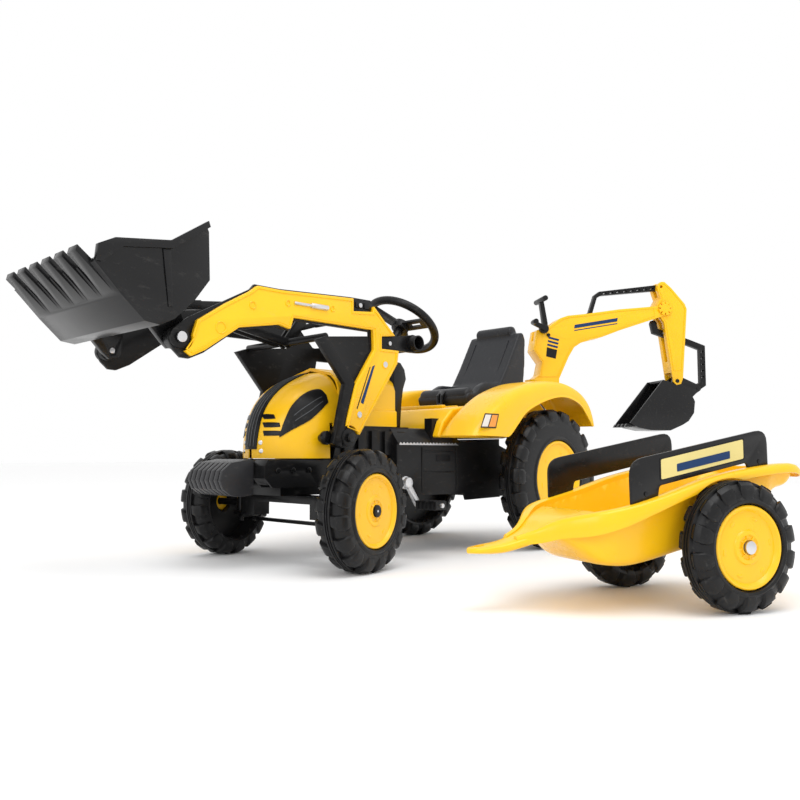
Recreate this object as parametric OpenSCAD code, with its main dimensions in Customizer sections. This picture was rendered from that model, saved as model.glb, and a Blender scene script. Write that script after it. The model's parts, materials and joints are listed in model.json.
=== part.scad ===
// Child's pedal tractor with a front loader, a seat-operated rear digger and a two-wheel trailer.
// X forward, Y to the left, Z up, millimetres. The ground is Z = 0.

/* [Tractor] */
// Distance from front wheel centre to rear wheel centre
wheelbase = 664; // [655:670]
// Half of the width over the rear wheels
half_track = 272; // [270:276]
// Steering angle the front wheels stand at, to the left
steer_rest = 11.9; // [0:14]

/* [Wheels] */
// Front tyre radius
front_r = 125; // [120:126]
// Front tyre width
front_w = 76; // [68:78]
// Rear tyre radius
rear_r = 177; // [170:178]
// Rear tyre width
rear_w = 70; // [60:72]
// Trailer tyre radius
trailer_r = 100; // [95:102]
// Trailer tyre width
trailer_w = 52; // [46:54]

/* [Digger] */
// Angle the digger boom stands swung to the left
swing_rest = 36; // [30:40]

/* [Trailer] */
// Trailer place beside the tractor, forward
trailer_x = -193; // [-220:-180]
// Trailer place beside the tractor, to the left
trailer_y = 800; // [790:840]
// Direction the trailer tongue points
trailer_heading = -22.5; // [-24:-20]

/* [Hidden] */
$fn = 64;
fit = 0.06;          // radial clearance of a running pin
shift_x = 416.12;    // puts the middle of the whole set over the origin
shift_y = -345.17;

yellow = [0.96, 0.72, 0.05];
black = [0.06, 0.06, 0.065];
grey = [0.2, 0.2, 0.21];
steel = [0.75, 0.75, 0.76];

// The whole set sits centred over the origin
module row() { translate([shift_x, shift_y, 0]) children(); }
// A flat outline drawn in X and Z, as thick as from y0 to y1
module slab(y0, y1) { translate([0, y1, 0]) rotate([90, 0, 0]) linear_extrude(y1 - y0) children(); }
// A flat outline drawn in Y and Z, from x0 to x1
module bar(x0, x1) { translate([x0, 0, 0]) rotate([90, 0, 90]) linear_extrude(x1 - x0) children(); }
// Round bar across the tractor
module cross(x, z, r, y0, y1) { translate([x, y1, z]) rotate([90, 0, 0]) cylinder(r = r, h = y1 - y0); }
module block(a, b) { translate(a) cube([b[0] - a[0], b[1] - a[1], b[2] - a[2]]); }
module both_sides() { children(); mirror([0, 1, 0]) children(); }
module pts(p) { polygon(p); }
// A straight flat link between two points in X and Z, with round ends
module strap(a, b, r) {
  d = b - a; n = [-d[1], d[0]] / norm(d) * r;
  polygon([a + n, b + n, b - n, a - n]);
  translate(a) circle(r); translate(b) circle(r);
}

// ---------- wheels: axis along Z, outer face up ----------
module tyre_body(r, w, rim, bore, recess) {
  t = (r - rim) * 0.16;
  difference() {
    rotate_extrude() polygon([[bore, -w / 2 + 2], [20, -w / 2 + 2], [20, w / 2 - 26], [recess, w / 2 - 26], [recess, -w / 2 + 6], [recess + 5, -w / 2],
      [r - 12, -w / 2 + t], [r - 1, -w / 2 + t + 9], [r, -w / 2 + t + 16], [r, w / 2 - t - 16], [r - 1, w / 2 - t - 9], [r - 12, w / 2 - t], [rim + 10, w / 2], [rim + 1, w / 2 - 3],
      [rim + 0.4, w / 2 - 20], [bore, w / 2 - 20]]);
    for (k = [0:5]) rotate(k * 60) translate([(20 + rim) / 2, 0, -w]) cylinder(r = (rim - 20) * 0.17, h = w * 1.2);
  }
}
module rim_disc(rim, w, bore) {
  difference() {
    rotate_extrude() polygon([[bore, w / 2 - 19.5], [rim, w / 2 - 19.5], [rim, w / 2 - 5], [rim - 5, w / 2 - 2.5], [rim - 12, w / 2 - 6], [rim - 20, w / 2 - 9],
      [rim * 0.5, w / 2 - 9], [rim * 0.42, w / 2 - 6], [bore + 8, w / 2 - 6], [bore, w / 2 - 6]]);
    for (k = [0:7]) rotate(k * 45) translate([rim * 0.66, 0, w / 2 - 11]) cylinder(r = rim * 0.07, h = 6);
  }
}
module front_place(side) { // side is 1 on the left and -1 on the right
  translate([0, side * 180, front_r]) rotate([0, 0, steer_rest]) translate([0, side * 52, 0]) rotate([-90 * side, 0, 0]) children();
}
module rear_place(side) { translate([-wheelbase, side * (half_track - rear_w / 2), rear_r]) rotate([-90 * side, 0, 0]) children(); }
module trailer_place() { translate([trailer_x, trailer_y, 0]) rotate([0, 0, trailer_heading]) children(); }
module trailer_wheel_place(side) { trailer_place() translate([0, side * (160 - trailer_w / 2), trailer_r]) rotate([-90 * side, 0, 0]) children(); }

module front_tyre_left() { color(black) row() front_place(1) tyre_body(front_r, front_w, 76, 8 + fit, 88); }
module front_tyre_right() { color(black) row() front_place(-1) tyre_body(front_r, front_w, 76, 8 + fit, 88); }
module front_rim_left() { color(yellow) row() front_place(1) rim_disc(75.8, front_w, 8 + fit); }
module front_rim_right() { color(yellow) row() front_place(-1) rim_disc(75.8, front_w, 8 + fit); }
module rear_tyre_left() { color(black) row() rear_place(1) tyre_body(rear_r, rear_w, 97, 8.1, 140); }
module rear_tyre_right() { color(black) row() rear_place(-1) tyre_body(rear_r, rear_w, 97, 8.1, 140); }
module rear_rim_left() { color(yellow) row() rear_place(1) rim_disc(96.8, rear_w, 8.1); }
module rear_rim_right() { color(yellow) row() rear_place(-1) rim_disc(96.8, rear_w, 8.1); }
module trailer_tyre_left() { color(black) row() trailer_wheel_place(1) tyre_body(trailer_r, trailer_w, 64, 6 + fit, 76); }
module trailer_tyre_right() { color(black) row() trailer_wheel_place(-1) tyre_body(trailer_r, trailer_w, 64, 6 + fit, 76); }
module trailer_rim_left() { color(yellow) row() trailer_wheel_place(1) rim_disc(63.8, trailer_w, 6 + fit); }
module trailer_rim_right() { color(yellow) row() trailer_wheel_place(-1) rim_disc(63.8, trailer_w, 6 + fit); }

// ---------- tractor body ----------
module chassis() color(black) row() difference() {
  union() {
    // main tub under the seat
    slab(-130, 130) pts([[-214, 142], [-214, 262], [-440, 268], [-600, 279], [-600, 128], [-462, 125], [-455, 142]]);
    // sloping running boards with a raised block behind
    both_sides() bar(-440, -218) pts([[96, 262], [130, 262], [130, 266], [104, 300], [96, 302]]);
    both_sides() block([-414, 104, 264], [-338, 128, 326]);
    // engine block under the cowl
    slab(-104, 104) pts([[-281, 232], [-281, 303], [-62, 303], [-40, 228], [-214, 228]]);
    both_sides() for (k = [0:4]) block([-260 + 42 * k, 100, 238], [-236 + 42 * k, 112, 292]);
    // spine to the front axle
    block([-215, -56, 150], [66, 56, 229]);
    // arm pivot pods
    both_sides() cross(-42, 275, 22, 100, 138);
    // axle housing and tail beam
    block([-742, -62, 138], [-599, 62, 236]);
    block([-1000, -44, 178], [-741, 44, 236]);
    both_sides() slab(106, 130) pts([[-700, 150], [-700, 230], [-599, 262], [-599, 130], [-640, 130]]);
  }
  block([-594, -124, 100], [-222, 124, 250]);            // hollow under the tub
  block([-276, -98, 235], [-110, 98, 320]);              // hollow engine block
  block([-736, -56, 100], [-606, 56, 230]);              // hollow axle housing
  block([-994, -38, 150], [-748, 38, 230]);              // hollow tail beam
  translate([-960, 0, 100]) cylinder(r = 26.2, h = 300); // seat of the digger post
  cross(-wheelbase, rear_r, 8 + fit, -300, 300);         // rear axle bearings
  cross(-226, 174, 8 + fit, -300, 300);                  // crank bearings
  cross(-42, 275, 6.1, -300, 300);                       // arm pivot pins
  block([-262, 3, 136], [-188, 25, 214]);                // room for the chainring
  translate([0, 0, 145]) cylinder(r = 5, h = 100);
}
module front_carrier() color(black) row() {
  difference() {
    both_sides() slab(57, 100) pts([[140, 216], [132, 228], [-36, 228], [-36, 214], [-2, 170], [120, 170], [140, 190]]);
    for (x = [25, 68, 108]) cross(x, 206, 3.1, -300, 300);
    both_sides() block([-60, 62, 160], [126, 94, 222]);
  }
  block([100, -56.8, 186], [126, 56.8, 226]);
}
module front_weight() color(grey) row() difference() {
  // a ribbed block of nose weights, curved down in front
  slab(-62, 62) pts([[127, 222], [150, 229], [196, 222], [216, 206], [222, 186], [214, 168], [196, 156], [170, 152], [141, 156], [141, 216], [127, 216]]);
  for (y = [-51:17:51]) difference() {
    block([140, y - 1.6, 140], [240, y + 1.6, 240]);
    slab(-70, 70) pts([[120, 225], [148, 224], [192, 217], [211, 203], [217, 186], [210, 171], [193, 160], [170, 156], [130, 156]]);
  }
  slab(-56, 56) pts([[134, 216], [188, 212], [206, 190], [188, 164], [142, 162], [142, 210]]);
  both_sides() block([120, 56.5, 140], [141, 70, 240]);
}
module front_axle_beam() color(black) row() difference() {
  union() {
    block([-22, -150, 132], [22, 150, 149.5]);
    both_sides() slab(100, 150) pts([[-22, 100], [22, 100], [22, 132], [-22, 132]]);
    // forks that hold the kingpins
    both_sides() { block([-14, 149.9, 98], [14, 194, 104.5]); block([-14, 149.9, 145.5], [14, 194, 152]); block([-14, 140, 98], [14, 164, 152]); }
  }
  both_sides() translate([0, 180, 60]) cylinder(r = 5 + fit, h = 140);
}
module frame_bolts() color(steel) row() {
  both_sides() for (x = [25, 68, 108]) { cross(x, 206, 3.1, 90, 100.2); cross(x, 206, 6, 100.2, 103.5); }
  translate([0, 0, 149.6]) cylinder(r = 4.9, h = 60);
}
hood_plan = [[107, 8], [101, 24], [91, 44], [76, 64], [56, 82], [28, 97], [-8, 107], [-62, 113]]; // half of the outline seen from above
function mirrored(half) = concat([for (q = half) [q[0], -q[1]]], [for (k = [len(half) - 1:-1:0]) half[k]]);
module hood() color(yellow) row() difference() {
  intersection() {
    slab(-120, 120) pts([[96, 231.5], [103, 245], [106, 262], [101, 298], [88, 332], [62, 366], [20, 396], [-34, 420], [-62, 428], [-62, 304], [-28, 304], [-28, 231.5]]);
    linear_extrude(600) pts(mirrored(hood_plan));
    bar(-100, 140) pts([[-116, 220], [-116, 352], [-109, 378], [-94, 397], [-70, 411], [0, 434], [70, 411], [94, 397], [109, 378], [116, 352], [116, 220]]);
  }
  intersection() {
    slab(-104, 104) pts([[90, 220], [97, 262], [92, 296], [79, 327], [55, 358], [15, 387], [-36, 411], [-80, 420], [-80, 220]]);
    linear_extrude(600) pts(mirrored([[97, 8], [84, 40], [48, 76], [20, 90], [-12, 100], [-90, 104]]));
    bar(-100, 140) pts([[-108, 210], [-108, 350], [-101, 371], [-88, 388], [-66, 401], [0, 422], [66, 401], [88, 388], [101, 371], [108, 350], [108, 210]]);
  }
  both_sides() cross(-42, 275, 22.4, 90, 130);
  // three cooling slots on each side of the nose
  both_sides() for (q = [[88, 47, 287, 38], [82, 56, 305, 34], [74, 66, 323, 24]]) translate([q[0], q[1], q[2]]) rotate([0, 0, -58]) cube([q[3], 30, 8], center = true);
}
module grille_inserts() color(black) row() {
  // nose grille, laid over the crown from the bumper up to a point
  intersection() {
    difference() {
      slab(-24, 24) pts([[98, 252], [108, 264], [103.2, 299], [90, 333.5], [63.4, 368], [20.9, 398], [-33.4, 422.1], [-56, 428.8], [-56, 420], [-34, 414], [14, 392], [56, 362], [80, 328], [92, 296], [96, 262]]);
      slab(-30, 30) pts([[92, 248], [103.2, 245], [106.3, 262], [101.3, 298.1], [88.3, 332.2], [62.2, 366.3], [20.2, 396.3], [-34, 420.3], [-70, 431], [-70, 380], [0, 300], [90, 240]]);
    }
    union() { block([30, -22, 240], [140, 22, 420]); linear_extrude(500) pts([[31, -22], [31, 22], [0, 19], [-50, 2], [-50, -2], [0, -19]]); }
  }
  // leaf-shaped side grilles that follow the flanks
  both_sides() intersection() {
    slab(50, 116) pts([[80, 277], [74, 303], [56, 337], [30, 360], [-6, 377], [-28, 380], [-30, 352], [-6, 334], [22, 316], [56, 298]]);
    linear_extrude(600) polygon(concat([for (k = [2:7]) hood_plan[k] + [1.6, 2.2]], [for (k = [7:-1:2]) hood_plan[k] + [0.2, 0.3]]));
  }
}
module cowl() color(yellow) row() difference() {
  union() {
    bar(-242, -62.2) pts([[-98, 303.2], [-98, 388], [-90, 408], [-72, 422], [0, 438], [72, 422], [90, 408], [98, 388], [98, 303.2]]);
    bar(-242, -64) pts([[-103, 303.2], [-103, 338], [-99, 342], [99, 342], [103, 338], [103, 303.2]]);
  }
  bar(-236, -50) pts([[-93, 290], [-93, 385], [-86, 402], [-70, 416], [0, 431], [70, 416], [86, 402], [93, 385], [93, 290]]);
  column() translate([0, 0, -420]) cylinder(r = 13, h = 400);
}
module dash_panel() color(black) row() difference() {
  slab(-94, 94) pts([[-242.3, 303.2], [-242.3, 446], [-250, 460], [-266, 458], [-280, 442], [-285, 420], [-275, 396], [-269, 360], [-264, 303.2]]);
  column() translate([0, 0, -420]) cylinder(r = 13, h = 500);
}
module fender_unit() color(yellow) row() difference() {
  union() {
    // seat pedestal
    slab(-150, 150) pts([[-338, 279.5], [-355, 318], [-392, 352], [-440, 359], [-640, 363.2], [-742, 398], [-800, 352], [-800, 310], [-600, 279.5]]);
    // two wheel arches
    both_sides() slab(150, 270) pts([[-329, 283], [-366, 322], [-404, 350], [-450, 379], [-482, 394], [-530, 410], [-576, 421], [-651, 429], [-716, 426], [-783, 406], [-824, 373], [-843, 320], [-843, 312],
      [-829, 312], [-802, 342], [-769, 370], [-715, 386], [-663, 385], [-588, 367], [-527, 340], [-463, 285], [-456, 279.5], [-331, 279.5]]);
  }
  slab(-142, 142) pts([[-350, 240], [-350, 279], [-364, 314], [-396, 344], [-440, 350], [-640, 354], [-740, 388], [-790, 348], [-790, 240]]);
  both_sides() block([-430, 95.6, 240], [-330, 130.4, 326.5]); // over the running boards
  both_sides() slab(158, 262) pts([[-345, 270], [-346, 288], [-372, 316], [-409, 342], [-454, 370], [-486, 386], [-533, 402], [-578, 413], [-651, 421], [-714, 418], [-778, 399], [-816, 369], [-834, 322], [-834, 200], [-300, 200]]);
}
module seat() color(grey) row() {
  difference() {
    union() {
      slab(-88, 88) pts([[-520, 390], [-524, 374], [-538, 365], [-640, 364.6], [-700, 385], [-748, 403], [-774, 440], [-782, 500], [-784, 566], [-774, 584], [-756, 580], [-744, 560], [-700, 486], [-668, 438], [-640, 412], [-590, 400], [-552, 402], [-530, 402]]);
      both_sides() slab(66, 88) pts([[-552, 396], [-580, 422], [-602, 432], [-700, 432], [-748, 560], [-770, 584], [-780, 500], [-740, 420], [-640, 390]]);
      cross(-762, 587, 17, -62, 62);
    }
    slab(-80, 80) pts([[-544, 350], [-548, 384], [-636, 388], [-690, 424], [-752, 530], [-774, 530], [-766, 442], [-740, 410], [-660, 376], [-652, 350]]);
  }
}
module seat_strap() color(black) row() {
  // latch strap over the middle of the front roll
  difference() {
    slab(-11, 11) pts([[-518.9, 362.4], [-511, 362.4], [-511, 396], [-526, 410], [-552, 410], [-552, 403.2], [-530, 403.2], [-518.9, 391]]);
    slab(-3, 3) pts([[-500, 376], [-500, 400], [-530, 400], [-530, 376]]);
  }
}
module loader_pins() color(steel) row() {
  both_sides() { cross(-42, 275, 6, 104, 160); cross(-42, 275, 10, 160, 164); }
  both_sides() { cross(2, 274, 9, 112.5, 124); cross(2, 274, 15, 124, 134); }
}
module drive_chain() color(grey) row() difference() {
  d = [-226, 174] - [-wheelbase, rear_r];
  slab(12, 16) difference() {
    union() { translate([-226, 174]) circle(31); translate([-wheelbase, rear_r]) circle(26);
      polygon([[-226, 205], [-wheelbase, rear_r + 26], [-wheelbase, rear_r - 26], [-226, 143]]); }
    union() { translate([-226, 174]) circle(28.5); translate([-wheelbase, rear_r]) circle(23.5);
      polygon([[-226, 202.5], [-wheelbase, rear_r + 23.5], [-wheelbase, rear_r - 23.5], [-226, 145.5]]); }
  }
  block([-620, 0, 0], [-590, 40, 400]);
}
module digger_post() color(black) row() {
  difference() {
    union() {
      translate([-960, 0, 166]) cylinder(r = 26, h = 268);
      translate([-960, 0, 236.3]) cylinder(r = 42, h = 10);
      translate([-960, 0, 422]) cylinder(r = 36, h = 12);
      // braces up to the pedestal
      slab(-30, -22) strap([-905, 244], [-812, 330], 7);
      slab(22, 30) strap([-905, 244], [-812, 330], 7);
      block([-926, -30, 236.3], [-880, 30, 246]);
    }
    translate([-960, 0, 100]) cylinder(r = 14 + fit, h = 400);
  }
}
module hitch_bracket() color(black) row() difference() {
  union() {
    block([-1046, -26, 150], [-1000.2, 26, 158]);
    block([-1008, -26, 150], [-1000.2, 26, 226]);
    translate([-1046, 0, 150]) cylinder(r = 26, h = 8);
  }
  translate([-1046, 0, 100]) cylinder(r = 8, h = 100);
}

// ---------- drive ----------
module crank() color(steel) row() difference() {
  union() {
    cross(-226, 174, 8, -146, 146);
    cross(-226, 174, 15, 133, 147); cross(-226, 174, 15, -147, -133);
    slab(146, 154) strap([-226, 174], [-262, 123.5], 7);
    slab(-154, -146) strap([-226, 174], [-190, 224.5], 7);
    cross(-226, 174, 12, 146, 158); cross(-226, 174, 12, -158, -146);
    cross(-262, 123.5, 5, 150, 228); cross(-190, 224.5, 5, -228, -150);
  }
}
module chainring() color(steel) row() difference() {
  union() { cross(-226, 174, 27, 13, 15); cross(-226, 174, 14, 8, 20); for (k = [0:17]) translate([-226, 14, 174]) rotate([0, k * 20, 0]) block([25, -1, -1.6], [28.2, 1, 1.6]); }
  cross(-226, 174, 8.02, -10, 40);
}
module pedal(x, z) {
  difference() {
    union() {
      block([x - 18, 160, z - 9], [x + 18, 222, z + 9]);
      for (k = [0:4]) block([x - 20, 164 + 12 * k, z - 10.5], [x + 20, 169 + 12 * k, z + 10.5]);
    }
    cross(x, z, 5 + fit, 100, 300);
  }
}
module pedal_left() color(black) row() pedal(-262, 123.5);
module pedal_right() color(black) row() mirror([0, 1, 0]) pedal(-190, 224.5);
module rear_axle() color(steel) row() {
  cross(-wheelbase, rear_r, 8, -268, 268);
  both_sides() { cross(-wheelbase, rear_r, 13, 266.2, 270.5); cross(-wheelbase, rear_r, 12, 133, 196); }
}
module rear_sprocket() color(steel) row() difference() {
  union() { cross(-wheelbase, rear_r, 22, 13, 15); cross(-wheelbase, rear_r, 14, 8, 20); for (k = [0:13]) translate([-wheelbase, 14, rear_r]) rotate([0, k * 360 / 14, 0]) block([20, -1, -1.6], [23.2, 1, 1.6]); }
  cross(-wheelbase, rear_r, 8.02, -10, 40);
}

// ---------- steering ----------
module column() { translate([-368, 0, 570]) rotate([0, -37, 0]) children(); }
module steering_wheel() color(black) row() column() difference() {
  union() {
    rotate_extrude() translate([92, 0]) circle(10.5);
    translate([0, 0, -16]) cylinder(r = 22, h = 20);
    for (a = [90, 210, 330]) rotate(a) difference() { block([16, -15, -8], [90, 15, -1]); block([36, -5, -20], [70, 5, 20]); }
  }
  translate([0, 0, -30]) cylinder(r = 8.02, h = 24);
}
module steering_shaft() color(black) row() column() {
  translate([0, 0, -336]) cylinder(r = 8, h = 330);
  translate([0, 0, -86]) cylinder(r = 11.5, h = 68);
}
module knuckle() { // built straight ahead on the left, kingpin at the origin
  translate([0, 0, -44]) cylinder(r = 5, h = 76);
  translate([0, 0, 28]) cylinder(r = 8, h = 4);
  translate([0, 0, -19.8]) cylinder(r = 11, h = 39.6);
  rotate([-90, 0, 0]) cylinder(r = 8, h = 86);
  translate([0, 84, 0]) rotate([-90, 0, 0]) cylinder(r = 12, h = 5);
  block([-52, -7, -36], [6, 7, -28.6]);
  translate([-45, 0, -48]) cylinder(r = 4, h = 14);
}
module knuckle_left() color(black) row() translate([0, 180, front_r]) rotate([0, 0, steer_rest]) knuckle();
module knuckle_right() color(black) row() translate([0, -180, front_r]) rotate([0, 0, steer_rest]) mirror([0, 1, 0]) knuckle();
module tie_rod() color(black) row() {
  x = -44.0; // rod ends slotted so the arms can swing
  translate([x, 0, 0]) difference() {
    union() { block([-5, -178, 80], [5, 159, 88]); for (y = [-189.3, 170.7]) translate([0, y, 80]) { block([-10, -12, 0], [14, 12, 7]); } }
    for (y = [-189.3, 170.7]) translate([0, y, 70]) { block([-5.5, -4.6, 0], [9.5, 4.6, 40]); }
  }
}

// ---------- front loader ----------
arm_side = [[367, 430], [348, 458], [339, 487], [277, 526], [222, 556], [203, 570], [143, 569], [-54, 578], [-54, 550], [-113, 555], [-116, 568], [-183, 508], [-140, 503],
  [-140, 475], [-195, 475], [-190, 445], [-72, 281], [-30, 294], [-60, 391], [-116, 471], [-114, 515], [112, 517], [120, 493], [148, 499], [245, 483], [322, 432], [350, 419]];
inner_side = [[384, 430], [394, 446], [392, 462], [376, 474], [352, 492], [276, 531], [214, 563], [204, 574], [143, 573], [-54, 582], [-114, 582], [-186, 510], [-197, 508], [-199, 474],
  [-194, 446], [-62, 256], [-22, 256], [-26, 294], [-56, 391], [-112, 471], [-110, 511], [108, 513], [116, 491], [148, 495], [244, 479], [320, 428], [350, 415], [368, 416]];
gusset = [[46, 480], [18, 489], [-114, 502], [-116, 472], [-62, 392], [-38, 300], [-22, 256], [0, 262], [-32, 390]];
module loader_frame() color(black) row() both_sides() difference() {
  union() {
    slab(140, 147) pts(inner_side);
    slab(140, 144) pts(gusset);
    slab(140, 153) pts([[46, 480], [18, 489], [-61, 393], [-40, 330], [-22, 256], [0, 262], [-32, 390]]);
    // pivot boss, front bosses and the handle socket
    cross(-42, 275, 20, 139.5, 156);
    cross(373, 452, 20, 126, 153);
    slab(140, 150) pts([[-140.4, 476], [-140.4, 502.5], [-184, 507], [-250, 517.5], [-250, 476]]);
    cross(-250, 497, 21, 140, 150);
  }
  cross(-42, 275, 6 + fit, 100, 200);
  cross(373, 452, 5.95, 100, 200);
  cross(-250, 497, 17.95, 100, 200);
}
module loader_cover() slab(147.2, 157) difference() {
  pts(arm_side);
  translate([-42, 275]) circle(26);
  translate([373, 452]) circle(26);
  polygon([[46, 480], [18, 489], [-61, 393], [-40, 330], [-22, 256], [0, 262], [-32, 390]]);
}
module loader_cover_left() color(yellow) row() loader_cover();
module loader_cover_right() color(yellow) row() mirror([0, 1, 0]) loader_cover();
module loader_tubes() color(black) row() {
  difference() { cross(-250, 497, 18, -168, 168); cross(-250, 497, 15, -180, 180); }
  cross(12, 490, 8, -139.8, 139.8);
  cross(190, 522, 8, -139.8, 139.8);
  // stay for the tilt lever
  both_sides() slab(12, 18) pts([[2, 482], [34, 482], [198, 513], [198, 531], [30, 500], [2, 498]]);
}
module loader_bolts() color(steel) row() both_sides() {
  cross(373, 452, 6, 112, 160); cross(373, 452, 10, 157.4, 162);
  for (p = [[-170, 490], [-78, 566]]) cross(p[0], p[1], 5, 150.2, 154);
  for (p = [[-150, 440], [-70, 325]]) cross(p[0], p[1], 7, 157.2, 159);
}
module loader_bucket() color(black) row() difference() {
  union() {
    slab(-175, 175) pts([[542, 591], [516, 601], [409, 615], [334, 663], [328, 650], [325, 560], [356, 519], [397, 480], [426, 466], [456, 470], [500, 510], [549, 560]]);
    // hinge ears
    both_sides() slab(112, 124) pts([[352, 448], [360, 436], [380, 434], [394, 446], [420, 474], [392, 492], [360, 516], [350, 490]]);
    // tilt lug behind
    slab(-9, 9) pts([[302, 529], [296, 542], [304, 552], [330, 566], [330, 556], [316, 530]]);
    // fingers
    for (k = [-2.5:2.5]) translate([0, k * 56, 0]) slab(-17, 17) pts([[492, 504], [575, 577], [572, 588], [560, 585], [540, 575], [486, 514]]);
    both_sides() slab(169, 181) pts([[546, 590], [516, 605], [409, 619], [332, 669], [328, 658], [405, 605], [500, 592], [540, 560], [549, 562]]);
  }
  slab(-170, 170) pts([[600, 620], [500, 700], [300, 720], [334.5, 640], [332, 562], [361, 524], [400, 487], [427, 473], [452, 477], [495, 515], [540, 562], [600, 610]]);
  both_sides() { cross(373, 452, 6 + fit, 90, 130); }
  cross(305, 540, 5 + fit, -30, 30);
  for (k = [-2:2]) translate([0, k * 56, 0]) linear_extrude(900) polygon([[505, 0], [600, -13], [600, 13]]);
}
module tilt_lever() color(black) row() difference() {
  union() {
    slab(-11.5, -6) pts([[0, 484], [12, 476], [24, 484], [24, 496], [-44, 584], [-56, 590], [-66, 582], [-64, 570]]);
    slab(6, 11.5) pts([[0, 484], [12, 476], [24, 484], [24, 496], [-44, 584], [-56, 590], [-66, 582], [-64, 570]]);
    slab(-5.6, 5.6) strap([-40, 530], [-100, 548], 6);
    slab(-11.5, 11.5) pts([[-34, 524], [-22, 534], [-30, 544], [-42, 536]]);
    cross(-100, 548, 9, -26, 26);
  }
  cross(12, 490, 8 + fit, -30, 30);
  slab(-5.8, 5.8) pts([[-80, 600], [-70, 566], [-50, 556], [0, 560], [0, 600]]);
}
module tilt_rod() color(black) row() {
  difference() { union() { slab(-5, 5) strap([-56, 578], [280, 542.6], 9); both_sides() slab(10, 14) strap([262, 544.5], [305, 540], 9); slab(-14, 14) pts([[240, 537], [274, 533], [276, 552], [242, 556]]); } cross(-56, 578, 4.5, -30, 30); cross(305, 540, 5 + fit, -30, 30); slab(-10, 10) pts([[284.5, 500], [284.5, 600], [330, 600], [330, 500]]); }
  cross(-56, 578, 4.4, -5, 5);
  cross(305, 540, 5, -16, 16);
}

// ---------- digger, drawn pointing along +X from the post, then swung ----------
module dig() { row() translate([-960, 0, 0]) rotate([0, 0, 180 - swing_rest]) children(); }
module digger_boom() color(yellow) dig() difference() {
  union() {
    slab(-30, 30) pts([[-14, 440], [-14, 467], [2, 480], [10, 517], [-16, 554], [-5, 615], [27, 622], [46, 636], [70, 653], [93, 661], [154, 668], [258, 684], [400, 698],
      [424, 692], [430, 684], [424, 672], [385, 661], [261, 620], [203, 598], [162, 588], [132, 578], [111, 564], [93, 534], [62, 467], [62, 440]]);
    translate([0, 0, 434.6]) cylinder(r = 34, h = 30);
  }
  // hollow between two side shells
  slab(-24, 24) pts([[20, 500], [24, 560], [30, 606], [60, 636], [96, 655], [156, 662], [258, 678], [368, 690], [368, 663], [258, 626], [200, 604], [160, 594], [127, 584], [104, 568], [86, 537], [62, 490]]);
  slab(-26, 26) pts([[372, 640], [372, 720], [460, 720], [460, 640]]);         // fork for the stick
  slab(-12, 12) pts([[96, 640], [96, 720], [236, 720], [236, 650]]);           // slot for the upper link
  slab(-12, 12) pts([[300, 594], [300, 680], [420, 680], [420, 594]]);         // slot for the lower link
  block([-30, -9, 585], [60, 9, 700]);                                          // slot for the long lever
  cross(405, 689, 6 + fit, -60, 60);
  cross(30, 600, 5 + fit, -60, 60);
  cross(14, 618, 5 + fit, -60, -6);
}
module digger_stick() color(yellow) dig() difference() {
  slab(-25.5, 25.5) pts([[386, 752], [388, 765], [398, 774], [409, 774], [430, 756], [474, 706], [480, 690], [462, 474], [455, 456], [440, 452], [430, 462], [405, 647], [384, 676], [384, 702], [396, 722]]);
  slab(-19, 19) pts([[412, 745], [466, 700], [466, 680], [452, 490], [442, 490], [420, 640], [430, 712]]);
  slab(-9, 9) pts([[376, 730], [376, 790], [420, 790], [440, 742], [398, 728]]);    // fork for the upper link
  slab(-9, 9) pts([[376, 560], [366, 679], [396, 679], [412, 672], [500, 672], [520, 520], [430, 520]]);    // slot for the lower link
  slab(-20, 20) pts([[410, 430], [410, 491], [490, 491], [490, 430]]);              // fork for the bucket
  cross(405, 689, 6.02, -60, 60);
  cross(398, 759, 5 + fit, -60, 60);
  cross(443, 465, 6 + fit, -60, 60);
}
module stick_caps() color(yellow) dig() {
  cross(405, 689, 6, -36, 36);
  difference() { union() { cross(405, 689, 21, 30.4, 36); cross(405, 689, 21, -36, -30.4); } for (k = [0:7]) translate([405, 0, 689]) rotate([0, k * 45, 0]) block([14, -40, -2], [26, 40, 2]); }
}
module stick_lever() color(black) dig() {
  difference() { slab(-8, 8) pts([[22, 592], [38, 592], [37, 640], [26, 706], [14, 704], [22, 640]]); cross(30, 600, 5, -20, 20); }
  cross(30, 600, 5, -34, 34);
  cross(19, 712, 8, -42, 42);
}
module stick_link() color(black) dig() difference() {
  slab(-8, 8) pts([[150, 656], [176, 656], [180, 672], [196, 722], [210, 730], [398, 750], [407, 754], [407, 764], [398, 768], [204, 742], [188, 730], [170, 676], [150, 668]]);
  slab(-20, 20) for (k = [0:7]) pts([[216 + k * 22, 734.5 + k * 2.6], [230 + k * 22, 736 + k * 2.6], [223 + k * 22, 741.5 + k * 2.6]]);
  cross(398, 759, 5, -20, 20);
}
module bucket_lever() color(black) dig() {
  cross(14, 618, 5, -40, -14);
  cross(14, 618, 14, -42, -30.6);
  slab(-50, -41.9) strap([14, 618], [-22, 635], 7);
  cross(-22, 635, 8, -72, -49.9);
}
module bucket_link() color(black) dig() difference() {
  slab(-8, 8) pts([[371, 646], [377.5, 615], [491, 579.4], [529, 565.6], [529, 463], [508, 450.5], [504, 443], [508, 435], [518, 434.5], [547, 453], [547, 578.5], [497, 596.6], [393, 629.5], [389, 650], [383, 656], [375, 655]]);
  for (k = [0:4]) translate([538, 0, 480 + k * 20]) slab(-20, 20) pts([[-5, -6], [5, 0], [-5, 6]]);
  for (k = [0:3]) translate([408 + k * 22, 0, 615 - k * 7]) slab(-20, 20) pts([[-6, -4], [6, -5], [0, 5]]);
  cross(513, 443, 5 + fit, -20, 20);
}
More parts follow.
